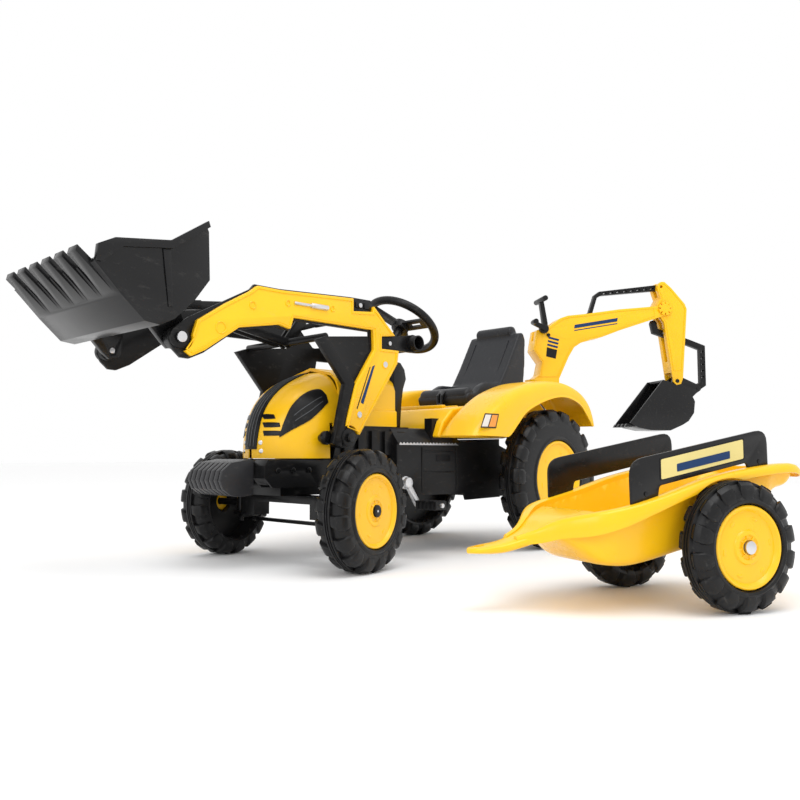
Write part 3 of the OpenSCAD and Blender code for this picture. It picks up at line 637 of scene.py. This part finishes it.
def hub_bolt(name, height, size):
    """A washer and a domed nut on the axle's end, with six sides when it is large."""
    outline = [
        (0.01, height - 4), (size * 1.5, height - 4), (size * 1.5, height - 2.6),
        (size * 1.05, height - 2.2), (size, height + 2.6), (size * 0.8, height + 3.6),
        (0.01, height + 3.8),
    ]
    return spun(name, outline, 6 if size > 6 else 24)


# %% The six wheels
WHEELS = {
    "front": dict(joint="front_{}_spin", body="front_{}_wheel", width=76, blocks=16, nut=7.5, roll=0.1),
    "rear": dict(joint="rear_axle_spin", body="rear_wheels", width=70, blocks=18, nut=6, roll=0.25),
    "trailer": dict(joint="trailer_{}_spin", body="trailer_{}_wheel", width=52, blocks=14, nut=6, roll=0.15),
}
for kind, wheel in WHEELS.items():
    low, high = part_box(f"{kind}_tyre_left")
    radius = (high.z - low.z) / 2 / MM
    rim_low, rim_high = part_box(f"{kind}_rim_left")
    rim = (rim_high.z - rim_low.z) / 2 / MM
    width = wheel["width"]
    tyre_model = tyre("tyre_model", radius, width, rim, wheel["blocks"])
    disc_model = wheel_disc("disc_model", rim - 0.2, width)
    bolt_model = hub_bolt("bolt_model", width / 2 - 4, wheel["nut"])
    for side, sign in SIDES:
        axis = Vector(JOINTS[wheel["joint"].format(side)]["axis"]) * sign
        turn = pointing(axis) @ Matrix.Rotation(wheel["roll"], 4, "Z")
        place = Matrix.Translation(middle(f"{kind}_tyre_{side}")) @ turn @ Matrix.Scale(MM, 4)
        body = wheel["body"].format(side)
        tread = copied(tyre_model, f"{kind}_{side}_tread", place)
        handed_over(tread, "tyre_moulding", body, [f"{kind}_tyre_{side}"], 30)
        disc = copied(disc_model, f"{kind}_{side}_disc", place)
        handed_over(disc, YELLOW, body, [f"{kind}_rim_{side}"], 30)
        handed_over(copied(bolt_model, f"{kind}_{side}_nut", place), "zinc", body)
    for model in (tyre_model, disc_model, bolt_model):
        removed(model)
    print(kind, "wheels: radius", round(radius, 1), "disc", round(rim, 1))

# %% [markdown]
# ## Hood
# The hood is a wedge that is round from above, from the side and from the front. Its cross-section is a
# squarish arch whose width and height change along its length, so one grid is bent into an arch at each
# station. Two more functions find points on its sides and on its crown, and the grilles and slots are
# laid there.

# %% The hood's skin
HOOD_BACK = -62
HOOD_TIP = 106
HOOD_FOOT = 230.4
hood_half = smooth_line([(-62, 112), (-8, 107), (28, 98), (56, 84), (78, 65), (92, 46), (101, 26), (106, 6)])
hood_top = smooth_line([(-62, 426), (-34, 419), (20, 396), (62, 365), (88, 331), (100, 298), (106, 266)])
squareness = smooth_line([(-62, 3.1), (20, 2.9), (80, 2.4), (106, 2.1)])


def hood_skin(x, turn):
    """A point of the hood at x, where turn runs from 0 at the left foot to 1 at the right foot."""
    angle = min(max(turn, 0.0), 1.0) * math.pi
    power = 2 / squareness(x)
    c, s = math.cos(angle), math.sin(angle)
    y = hood_half(x) * math.copysign(abs(c) ** power, c)
    z = HOOD_FOOT + (hood_top(x) - HOOD_FOOT) * abs(s) ** power
    return Vector((x, y, z))


def hood_flank(x, z, side, lift=0.0):
    """A point on the hood's side at x and z, or lifted off it; side is 1 on the left and -1 on the right."""
    share = min(max((z - HOOD_FOOT) / (hood_top(x) - HOOD_FOOT), 0.0), 0.999)
    power = squareness(x)
    y = hood_half(x) * (1 - share**power) ** (1 / power)
    out = Vector((0.15 + 0.75 * max(0.0, x - 20) / 86, side * 0.9, 0.25)).normalized()
    return Vector((x, side * y, z)) + out * lift


def hood_station(v):
    """Stations that lie closer together towards the tip, where the hood bends most."""
    return HOOD_BACK + (HOOD_TIP - HOOD_BACK) * (1 - (1 - v) ** 1.7)


hood = shaped_grid("hood_skin", 72, 56, lambda u, v: hood_skin(hood_station(v), u))
chosen_faces(hood, lambda face: face.center.z < 304 and face.center.x < -29)
bpy.ops.mesh.delete(type="FACE")
done()
apply_modifier(cleaned(hood), "SOLIDIFY", thickness=3, offset=-1)
handed_over(settled(hood, TRACTOR), YELLOW, "tractor", ["hood"], 40)
print("hood faces:", len(hood.data.polygons))


# %% Nose grille, side grilles and slots
def skin_patch(name, columns, rows, shape, thickness, finish, edge):
    """A raised patch that follows the hood."""
    patch = cleaned(shaped_grid(name, columns, rows, shape), merge=False)
    apply_modifier(patch, "SOLIDIFY", thickness=thickness, offset=0)
    rounded(patch, edge, 2, 50)
    return handed_over(settled(patch, TRACTOR), finish, "tractor")


nose_path = along_path([
    (106.2, 250), (106.2, 264), (104, 283), (100, 299), (88, 332), (62, 366), (20, 396.5), (-34, 419.5),
    (-54, 424.5),
])
nose_width = smooth_line([(0, 20), (0.2, 22), (0.5, 21), (0.75, 17), (0.92, 9), (1, 2)])


def hood_holds(spot):
    """Whether a point is inside the hood's skin."""
    power = squareness(spot.x)
    aside = abs(spot.y) / hood_half(spot.x)
    up = max(spot.z - HOOD_FOOT, 0.0) / (hood_top(spot.x) - HOOD_FOOT)
    return aside**power + up**power < 1


def on_nose(v, y, lift):
    """A point on the crown, square to the hood's side profile, at y beside the middle."""
    centre = nose_path(v)
    run = nose_path(min(v + 0.01, 1.0)) - nose_path(max(v - 0.01, 0.0))
    out = Vector((run.y, 0, -run.x)).normalized()
    near, far = 0.0, 45.0
    for _ in range(20):
        half_way = (near + far) / 2
        if hood_holds(Vector((centre.x, y, centre.y)) - out * half_way):
            far = half_way
        else:
            near = half_way
    return Vector((centre.x, y, centre.y)) + out * (lift - far)


strip = skin_patch("nose_grille", 12, 56, lambda u, v: on_nose(v, (u * 2 - 1) * nose_width(v), 0.9), 3.2,
                   BLACK, 0.9)
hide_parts("grille_inserts")
for k, share in enumerate((-0.62, -0.2, 0.2, 0.62)):
    def rib_line(u, v):
        along = 0.02 + 0.86 * v
        return on_nose(along, nose_width(along) * share + (u - 0.5) * 1.5, 3.0)

    skin_patch(f"nose_rib_{k + 1}", 2, 40, rib_line, 1.0, "grille_line", 0.2)

leaf_low = smooth_line([(-30, 352), (-7, 333), (18, 313), (40, 300), (58, 289), (76, 275)])
leaf_high = smooth_line([
    (-30, 368), (-22, 380), (-7, 380), (10, 374), (30, 361), (52, 337), (68, 304), (76, 278),
])
for side, sign in SIDES:
    def leaf(u, v, lift=1.0, near=0.0, far=1.0):
        x = -30 + 106 * v
        share = near + (far - near) * u
        return hood_flank(x, leaf_low(x) + (leaf_high(x) - leaf_low(x)) * share, sign, lift)

    skin_patch(f"side_grille_{side}", 12, 32, leaf, 3.0, BLACK, 0.9)
    for k, share in enumerate((0.3, 0.55)):
        skin_patch(f"side_grille_line_{side}_{k + 1}", 2, 20,
                   lambda u, v: leaf(u, 0.12 + 0.62 * v, 2.8, share, share + 0.03), 0.8, "grille_line", 0.2)
    for k, (near, far, height) in enumerate(((70, 95, 284), (73, 93, 302), (77, 90, 320))):
        def slot_skin(u, v):
            above = (u - 0.5) * (11 - 4 * max(0.0, 0.5 - v))
            return hood_flank(near + (far - near) * v, height + above, sign, 0.4)

        skin_patch(f"cooling_slot_{side}_{k + 1}", 4, 10, slot_skin, 1.6, "label_black", 0.4)
STUD = [(0.01, -3), (5, -3), (5, 0.6), (4.2, 1.4), (2.6, 1.6), (2.2, 0.8), (0.01, 0.8)]
for side, sign in SIDES:
    for k, height in enumerate((246, 264)):
        knob(f"hood_stud_{side}_{k + 1}", STUD, 20, hood_flank(99, height, sign), (0.75, 0.66 * sign, 0),
             "zinc", "tractor", TRACTOR)
print("hood trim laid on")

# %% [markdown]
# ## Seat base and fenders
# Each fender is a smooth arch with a rolled outer lip. It is one skin, swept along two lines: the outer
# line over the top and the inner line of the lip. The seat base between them is a rounded block.

# %% Fender arches
fender_top = along_path([
    (-330, 282), (-366, 321), (-404, 349), (-450, 377.5), (-482, 392.5), (-530, 409), (-576, 420),
    (-651, 428), (-716, 425), (-783, 405), (-824, 373), (-839, 340), (-842, 313),
])
fender_lip = along_path([
    (-452, 280), (-463, 285), (-495, 313), (-527, 340), (-588, 366), (-663, 384), (-715, 385), (-769, 370),
    (-802, 342), (-829, 313),
])
FENDER_SECTION = [
    (150.5, 0.96), (150.5, 0.5), (151.5, 0.2), (156, 0.05), (166, 0.0), (200, -0.01), (236, 0.0),
    (250, 0.03), (260, 0.1), (266, 0.22), (268.8, 0.38), (269.6, 0.6), (269.6, 0.8), (268.6, 0.86),
    (269.6, 0.92), (269.6, 1.0),
]


def fender_skin(u, v, sign):
    """A point of the arch, u across the section from inside to the lip and v along its length."""
    section = u * (len(FENDER_SECTION) - 1)
    k = min(int(section), len(FENDER_SECTION) - 2)
    part = section - k
    y = FENDER_SECTION[k][0] * (1 - part) + FENDER_SECTION[k + 1][0] * part
    share = FENDER_SECTION[k][1] * (1 - part) + FENDER_SECTION[k + 1][1] * part
    point = fender_top(v).lerp(fender_lip(v), share)
    return Vector((point.x, sign * y, point.y))


for side, sign in SIDES:
    arch = shaped_grid(f"fender_{side}", 2 * (len(FENDER_SECTION) - 1), 72,
                       lambda u, v: fender_skin(u, v, sign))
    cleaned(apply_modifier(arch, "SMOOTH", factor=0.5, iterations=2), merge=False)
    if sum(face.normal.z * face.area for face in arch.data.polygons) < 0:
        arch.data.flip_normals()
    settled(apply_modifier(arch, "SOLIDIFY", thickness=3, offset=-1), TRACTOR)
    handed_over(arch, YELLOW, "tractor", ["fender_unit"] if sign > 0 else (), 50)

# %% Seat base
base = plate("seat_base", [
    (-339, 280), (-355, 318), (-392, 352), (-440, 359), (-640, 363), (-742, 397), (-799, 352), (-799, 311),
    (-600, 280),
], -149, 149)
chosen_faces(base, lambda face: face.normal.y > 0.99 and face.area > 100)
bpy.ops.mesh.inset(thickness=10, depth=-2)
done()
rounded(base, 7, 3, 25)
handed_over(settled(base, TRACTOR), YELLOW, "tractor", (), 35)
for k, x in enumerate((-420, -470)):
    rib = [(x - 8, 355), (x + 8, 355), (x + 6, 363.5), (x - 6, 363.5)]
    flat_piece(f"seat_base_rib_{k + 1}", rib, 1, (-96, 96), YELLOW, "tractor", TRACTOR, (2, 2))

# %% Fender lamps
LAMP_FOOT = 269.5
LAMPS = {
    "lamp_frame": ([(-346, 300), (-404, 300), (-416, 334), (-362, 334)], 270.2, "label_black"),
    "lamp_white": ([(-350, 303), (-372, 303), (-386, 331), (-365, 331)], 270.6, "lamp_white"),
    "lamp_orange": ([(-376, 303), (-401, 303), (-411, 331), (-390, 331)], 270.6, "lamp_orange"),
}
for name, (corners, face, finish) in LAMPS.items():
    flat_piece(name, corners, 1, (LAMP_FOOT, face), finish, "tractor", TRACTOR, (0.4, 1))
print("fenders and lamps made")

# %% [markdown]
# ## Seat
# The seat is a blow-moulded shell with soft, swollen bolsters. A voxel remesh turns the designed seat
# into an even skin, and smoothing then swells every corner into the round shape that such a moulding has.

# %% Seat shell
seat = merged_copy("seat", "seat_shell")
apply_modifier(seat, "REMESH", mode="VOXEL", voxel_size=0.0034)
apply_modifier(seat, "SMOOTH", factor=0.6, iterations=14)
handed_over(seat, "seat_moulding", "tractor", ["seat"], 70)
seat_path = along_path([(-560, 404.5), (-600, 403), (-645, 415), (-671, 440), (-702, 488), (-744, 560)])
for side, sign in SIDES:
    def seam_line(u, v):
        spot = seat_path(v)
        return Vector((spot.x + 0.8, sign * (57 + 2.4 * u), spot.y + 0.6))

    seam = shaped_grid(f"seat_seam_{side}", 3, 40, seam_line)
    rounded(apply_modifier(seam, "SOLIDIFY", thickness=2, offset=0), 0.6, 2)
    handed_over(settled(seam, TRACTOR), "seat_moulding", "tractor")
roll = rounded(round_bar("seat_front_roll", 40, 19, 170, (-541, 0, 396), (math.pi / 2, 0, 0)), 12, 5, 50)
handed_over(settled(roll, TRACTOR), "seat_moulding", "tractor", (), 60)
print("seat faces:", len(seat.data.polygons))

# %% [markdown]
# ## Loader
# The yellow covers get rounded edges and a raised line just inside their outline. A dummy cylinder, some
# round bosses and a plain stripe decorate them. The bucket gets a rib on each cheek.

# %% Arm covers
ARM_FACE = 157
ARM = [
    (350, 420), (368, 430), (348, 458), (339, 487), (277, 526), (222, 556), (203, 570), (143, 569),
    (-54, 577), (-54, 550), (-112, 554), (-116, 566), (-180, 508), (-141, 503), (-140, 475), (-192, 475),
    (-189, 446), (-72, 282), (-31, 294), (-61, 391), (-117, 471), (-115, 515), (112, 517), (120, 493),
    (148, 499), (245, 483), (322, 432),
]
ARM_BOSSES = ((288, 478, 12), (215, 530, 8), (128, 545, 6.5), (8, 548, 6.5), (-150, 440, 9), (-70, 325, 9))
for side, sign in SIDES:
    cover = rounded(merged_copy(f"loader_cover_{side}", f"arm_cover_{side}"), 0.0012, 2, 35)
    handed_over(cover, YELLOW, "loader", [f"loader_cover_{side}"], 35)
    beading(f"arm_border_{side}", ARM, sign * ARM_FACE, "loader", TRACTOR)
    for k, (x, z, size) in enumerate(ARM_BOSSES):
        outline = [(size - 2, -1), (size - 2, 1.2), (size - 1, 1.7), (size, 1.2), (size + 0.6, -1)]
        knob(f"arm_boss_{k + 1}_{side}", outline, 24, (x, sign * ARM_FACE, z), (0, sign, 0),
             YELLOW, "loader", TRACTOR)
    for k, (near, far, size) in enumerate(((112, 66, 3.4), (68, 22, 6))):
        centre = ((near + far) / 2, sign * (ARM_FACE + 0.4), 547)
        rod = round_bar(f"dummy_cylinder_{side}_{k + 1}", 24, size, near - far, centre, (0, math.pi / 2, 0))
        handed_over(settled(rounded(rod, 0.8, 2), TRACTOR), "zinc", "loader")
    flat_piece(f"arm_stripe_{side}", [(-118, 437), (-110, 433), (-74, 352), (-82, 348)], sign, (156.6, 157.6),
               "stripe_blue", "loader", TRACTOR, (0.3, 1))
    flat_piece(f"arm_line_{side}", [(-104, 432), (-101.5, 430.5), (-62, 338), (-64.5, 337)], sign,
               (156.6, 157.5), "label_black", "loader", TRACTOR)
    for k, (x, z) in enumerate(((-78, 568), (-104, 568), (-160, 492))):
        tab = [(x - 11, z - 7), (x + 11, z - 7), (x + 11, z + 6), (x - 11, z + 6)]
        flat_piece(f"arm_tab_{side}_{k + 1}", tab, sign, (146.5, 149.5), "black_gloss", "loader", TRACTOR,
                   (1.2, 2))
print("arm covers made")

# %% Loader bucket
bucket = rounded(merged_copy("loader_bucket", "bucket_shell"), 0.0014, 2, 30)
handed_over(bucket, "black_gloss", "loader_scoop", ["loader_bucket"], 50)
for side, sign in SIDES:
    flat_piece(f"bucket_rib_{side}", [(424, 604), (408, 606), (402, 500), (411, 500)], sign, (174.6, 177.4),
               "black_gloss", "loader_scoop", TRACTOR, (0.9, 2))
print("bucket made")

# %% [markdown]
# ## Digger
# Boom and stick are two blow-moulded shells with a raised border. The bucket is a tapered scoop.

# %% Boom, stick and bucket
BOOM = [
    (-12, 470), (2, 480), (10, 517), (-15, 554), (-4, 614), (27, 621), (47, 636), (71, 652), (94, 660),
    (154, 667), (258, 683), (376, 695), (376, 662), (261, 621), (203, 599), (162, 589), (132, 579),
    (110, 565), (92, 535), (62, 469),
]
STICK = [
    (387, 752), (389, 764), (399, 773), (409, 773), (429, 756), (473, 706), (479, 690), (462, 494),
    (428, 492), (406, 647), (385, 677), (385, 702), (396, 722),
]
SHELLS = (("digger_boom", "boom_shell", BOOM, 30), ("digger_stick", "stick_shell", STICK, 25.5))
CHEEKS = (("near", -1), ("far", 1))
for node, name, outline, half in SHELLS:
    shell = rounded(merged_copy(node, name), 0.0012, 2, 35)
    handed_over(shell, YELLOW, BODY_OF[node], [node], 35)
    for side, sign in CHEEKS:
        beading(f"{name}_border_{side}", outline, sign * half, BODY_OF[node], DIGGER)
scoop = rounded(merged_copy("digger_bucket", "scoop_shell"), 0.0012, 2, 30)
handed_over(scoop, "black_gloss", BODY_OF["digger_bucket"], ["digger_bucket"], 50)

DIGGER_MARKS = {
    "boom_stripe": ([(112, 622), (250, 646), (252, 657), (114, 633)], "stripe_blue"),
    "boom_line": ([(112, 614), (250, 638), (250.5, 641), (112.5, 617)], "stripe_blue"),
    "boom_band_1": ([(30, 590), (62, 582), (64, 588), (31, 596)], "stripe_blue"),
    "boom_band_2": ([(28, 579), (60, 571), (62, 577), (29, 585)], "stripe_blue"),
    "boom_band_3": ([(26, 568), (58, 560), (60, 566), (27, 574)], "stripe_blue"),
    "boom_label": ([(22, 535), (52, 528), (57, 555), (25, 563)], "label_black"),
}
for name, (outline, finish) in DIGGER_MARKS.items():
    for side, sign in CHEEKS:
        flat_piece(f"{name}_{side}", outline, sign, (29.6, 30.6), finish, BODY_OF["digger_boom"], DIGGER)
print("digger made")

# %% [markdown]
# ## Trailer
# The tub and its tongue are one smooth body. A solid loft gives the outside, a second loft is cut out of
# it, and a rolled lip runs round the top and comes together on the tongue.

# %% Tub
TUB_BACK = -166
TONGUE_START = 200
TONGUE_TIP = 391
tub_half = smooth_line([
    (-166, 90), (-158, 99), (-140, 103), (186, 103), (206, 98), (224, 86), (246, 66), (266, 48), (290, 33),
    (330, 22), (366, 20), (380, 18), (388, 12), (391, 5),
])
tub_top = smooth_line([
    (-166, 214), (-130, 222), (-40, 214), (40, 199), (120, 176), (174, 162), (230, 149), (262, 138),
    (290, 122), (330, 108), (366, 102), (391, 98),
])
tub_bottom = smooth_line([
    (-166, 200), (-150, 187), (-128, 180), (-112, 164), (-100, 128), (-60, 112), (66, 84), (150, 68),
    (196, 71), (214, 79), (232, 93), (264, 111), (300, 98), (340, 89), (391, 90),
])


def lofted(name, near, far, columns, rows, section):
    """A closed body whose section(x, turn) is a ring at each x from near to far."""
    body = shaped_grid(name, columns, rows, lambda u, v: section(near + (far - near) * v, u * math.tau))
    return cleaned(body, fill=True)


def ring_point(x, turn, half, low, high, power, taper):
    """A point of a squarish ring, narrower at the foot by taper."""
    c, s = math.cos(turn), math.sin(turn)
    share = math.copysign(abs(s) ** (2 / power), s)
    z = (low + high) / 2 + (high - low) / 2 * share
    width = half * (1 - taper * (1 - share) / 2)
    return Vector((x, width * math.copysign(abs(c) ** (2 / power), c), z))


def tub_outside(x, turn):
    past = max(x - TONGUE_START, 0.0)
    power = max(2.6, 6 - past / 26)
    taper = max(0.03, 0.16 - past / 500)
    return ring_point(x, turn, tub_half(x), tub_bottom(x), tub_top(x), power, taper)


def tub_inside(x, turn):
    end = min((x + 152) / 16, (212 - x) / 16, 1.0)
    shrink = 1 - 0.12 * (1 - max(end, 0.0)) ** 2
    return ring_point(x, turn, (tub_half(x) - 7) * shrink, tub_bottom(x) + 12, tub_top(x) + 60, 6, 0.26)


tub = lofted("tub_body", TUB_BACK, TONGUE_TIP, 72, 96, tub_outside)
hollow = lofted("tub_hollow", -152, 212, 56, 40, tub_inside)
apply_modifier(tub, "BOOLEAN", object=hollow, operation="DIFFERENCE", solver="EXACT")
removed(hollow)
hole = spun("tongue_hole", [(0.01, 70), (8, 70), (8, 120), (0.01, 120)], 32)
hole.data.transform(Matrix.Translation((372, 0, 0)))
apply_modifier(tub, "BOOLEAN", object=hole, operation="DIFFERENCE", solver="EXACT")
removed(hole)
rounded(tub, 1.6, 2, 50)

# %% Rolled lip
LIP_OUTER = [
    (318, 20), (292, 33), (270, 52), (250, 76), (226, 100), (196, 115), (150, 121), (80, 123), (0, 123.5),
    (-80, 123), (-130, 121), (-158, 110), (-170, 84), (-171.5, 40),
]
LIP_INNER = [
    (318, 10), (290, 22), (262, 40), (240, 62), (216, 84), (190, 97), (150, 98), (80, 98), (0, 98),
    (-80, 98), (-130, 97), (-146, 90), (-152, 70), (-153, 40),
]
LIP_SECTION = [
    (0, -8), (0, 1), (0.25, 3.2), (0.6, 3.4), (0.86, 2), (1.0, -2), (1.03, -7), (1.0, -11), (0.94, -11.5),
    (0.88, -7), (0.5, -4), (0.2, -6), (0, -8),
]
WHEEL_ROOM = 103
skirt = smooth_line([
    (-172, 0), (0, 1), (90, 3), (150, 8), (200, 15), (235, 18), (270, 12), (300, 4), (318, 0),
])
lip_lines = []
for line in (LIP_OUTER, LIP_INNER):
    whole = line + [(line[-1][0], 0)] + [(x, -y) for x, y in reversed(line)]
    lip_lines.append([smooth_line([(k, point[axis]) for k, point in enumerate(whole)]) for axis in (0, 1)])
lip_stops = 2 * len(LIP_OUTER)


def lip_skin(u, v):
    share, drop = LIP_SECTION[round(u * 12)]
    outer, inner = [Vector((line[0](v * lip_stops), line[1](v * lip_stops))) for line in lip_lines]
    spot = inner.lerp(outer, share)
    hang = skirt(spot.x) * max(0.0, (share - 0.5) * 2) if drop < -4 else 0.0
    return Vector((spot.x, spot.y, tub_top(min(spot.x, TONGUE_TIP)) + drop - hang))


lip = cleaned(shaped_grid("tub_lip", 12, 150, lip_skin), fill=True)
wheel_room = spun("wheel_room", [(0.01, -60), (WHEEL_ROOM, -60), (WHEEL_ROOM, 60), (0.01, 60)], 64)
wheel_room.data.transform(Matrix.Translation((0, 0, 100)) @ Matrix.Rotation(math.pi / 2, 4, "X"))
for sign in (1, -1):
    room = copied(wheel_room, "room", Matrix.Translation((0, sign * 166, 0)))
    apply_modifier(lip, "BOOLEAN", object=room, operation="DIFFERENCE", solver="EXACT")
    removed(room)
removed(wheel_room)
tub = settled(joined("tub_shell", [tub, lip]), TRAILER)
handed_over(tub, YELLOW, BODY_OF["trailer_tub"], ["trailer_tub"], 40)
print("tub faces:", len(tub.data.polygons))


# %% Side panels
def softened(points, sizes):
    """Rounds each corner of an outline to its own size, with 0 for a sharp corner."""
    result = []
    for k, (corner, size) in enumerate(zip(points, sizes)):
        corner = Vector(corner)
        before = Vector(points[k - 1]) - corner
        after = Vector(points[(k + 1) % len(points)]) - corner
        if size == 0:
            result.append(tuple(corner))
            continue
        start = corner + before.normalized() * min(size, before.length / 2)
        end = corner + after.normalized() * min(size, after.length / 2)
        for step in range(6):
            t = step / 5
            result.append(tuple(start * (1 - t) ** 2 + corner * 2 * t * (1 - t) + end * t * t))
    return result


PANEL_FACE = 109.4
PANEL_BODY = BODY_OF["trailer_panels"]
PANEL = [(177, 164), (178, 230), (-90, 281), (-91, 220), (-50, 216), (-47, 226), (124, 192), (127, 176)]
PANEL_LABELS = {
    "panel_label_frame": ([(124, 199), (124, 234), (-42, 266), (-42, 231)], 4, (109, 109.8), "label_black"),
    "panel_label": ([(121.5, 201.5), (121.5, 231.7), (-39.5, 263), (-39.5, 232.8)], 3, (109.4, 110.2),
                    "label_pale"),
    "panel_label_bar": ([(92, 213), (92, 225), (-12, 245), (-12, 233)], 2, (110, 110.6), "stripe_blue"),
}
SCREW = [(0.01, -1), (4, -1), (3.6, 1.2), (0.01, 1.8)]
for side, sign in SIDES:
    flat_piece(f"side_panel_{side}", softened(PANEL, [3, 24, 24, 3, 3, 5, 5, 3]), sign, (104.4, PANEL_FACE),
               "black_gloss", PANEL_BODY, TRAILER, (1.6, 2, 50), ["trailer_panels"] if sign > 0 else ())
    for name, (corners, size, levels, finish) in PANEL_LABELS.items():
        flat_piece(f"{name}_{side}", softened(corners, [size] * 4), sign, levels, finish, PANEL_BODY, TRAILER)
    for k, (x, z) in enumerate(((150, 180), (-72, 228))):
        knob(f"panel_screw_{side}_{k + 1}", SCREW, 16, (x, sign * PANEL_FACE, z), (0, sign, 0), "black_gloss",
             PANEL_BODY, TRAILER)
print("panels made")

# %% [markdown]
# ## Small trim
# A toothed tread edge on each running board, a blank label plate, ribs and bands on the chassis, and a
# red button.

# %% Running boards, labels and button
for side, sign in SIDES:
    teeth = [(-222, 263.5)]
    for k in range(18):
        teeth += [(-226 - 11.5 * k, 267.5), (-231.5 - 11.5 * k, 263.5)]
    teeth += [(-434, 261), (-222, 261)]
    flat_piece(f"tread_edge_{side}", teeth, sign, (129.5, 131.4), "zinc", "tractor", TRACTOR)
    label = softened([(-350, 222), (-402, 222), (-402, 238), (-350, 238)], [3] * 4)
    flat_piece(f"chassis_label_{side}", label, sign, (129.6, 131), "label_black", "tractor", TRACTOR)
    for k, x in enumerate((-300, -425)):
        rib = [(x - 2, 150), (x + 2, 150), (x + 2, 256), (x - 2, 256)]
        flat_piece(f"chassis_rib_{side}_{k + 1}", rib, sign, (129.4, 132), BLACK, "tractor",
                   TRACTOR, (0.8, 2))
    for k, z in enumerate((246, 196)):
        band = [(-302, z - 1.5), (-302, z + 1.5), (-424, z + 1.5), (-424, z - 1.5)]
        flat_piece(f"chassis_band_{side}_{k + 1}", band, sign, (129.4, 131.6), BLACK, "tractor",
                   TRACTOR, (0.7, 2))
button = spun("dash_button", [(0.01, -3), (9, -3), (9, 1.5), (8, 3), (4, 4), (0.01, 4.2)], 32)
button.data.transform(Matrix.Translation((-258, 40, 462)) @ Matrix.Rotation(math.radians(-20), 4, "Y"))
handed_over(settled(button, TRACTOR), "button_red", "tractor")
print("trim made")

# %% [markdown]
# ## Studio
# A pale floor, an even white surround and two large soft lamps show the gloss of the plastic without
# hard shadows. The camera looks from the front left, low down.

# %% Floor, lamps and camera
clear()
bpy.ops.mesh.primitive_plane_add(size=40, location=(0, 0, 0))
floor = bpy.context.object
floor.name = "studio_floor"
paper = bpy.data.materials.new("studio_paper")
paper.use_nodes = True
paper.node_tree.nodes["Principled BSDF"].inputs["Base Color"].default_value = (0.97, 0.97, 0.97, 1)
paper.node_tree.nodes["Principled BSDF"].inputs["Roughness"].default_value = 0.9
floor.data.materials.append(paper)
floor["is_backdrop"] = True

world = bpy.data.worlds.new("studio")
bpy.context.scene.world = world
world.use_nodes = True
world.node_tree.nodes["Background"].inputs["Color"].default_value = (1, 1, 1, 1)
world.node_tree.nodes["Background"].inputs["Strength"].default_value = 1.0


def soft_lamp(name, place, target, size, power):
    lamp = bpy.data.lights.new(name, "AREA")
    lamp.shape = "RECTANGLE"
    lamp.size, lamp.size_y = size
    lamp.energy = power
    lamp_object = bpy.data.objects.new(name, lamp)
    bpy.context.collection.objects.link(lamp_object)
    lamp_object.location = place
    lamp_object.rotation_euler = (Vector(target) - Vector(place)).to_track_quat("-Z", "Y").to_euler()


soft_lamp("lamp_above", (0.6, 1.2, 3.2), (0, 0, 0.3), (2.4, 1.6), 42)
soft_lamp("lamp_front", (3.0, 0.8, 1.6), (0.2, 0, 0.4), (1.4, 1.2), 16)

camera_data = bpy.data.cameras.new("camera")
camera_data.lens = 36.75
camera_data.sensor_width = 36
camera_data.shift_x = 0.0605
camera_data.shift_y = -0.0011
camera = bpy.data.objects.new("camera", camera_data)
bpy.context.collection.objects.link(camera)
camera.location = TRACTOR.translation + Vector((1.1427, 1.4471, 0.2404))
camera.rotation_euler = (math.radians(93.824), 0, math.radians(-222.69))
bpy.context.scene.camera = camera
bpy.context.scene.view_settings.view_transform = "Standard"
print("pieces made:", len(MADE))

# %% Sizes and the end
low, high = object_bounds()
print("visual box:", [round(value, 4) for value in (*low, *high)])
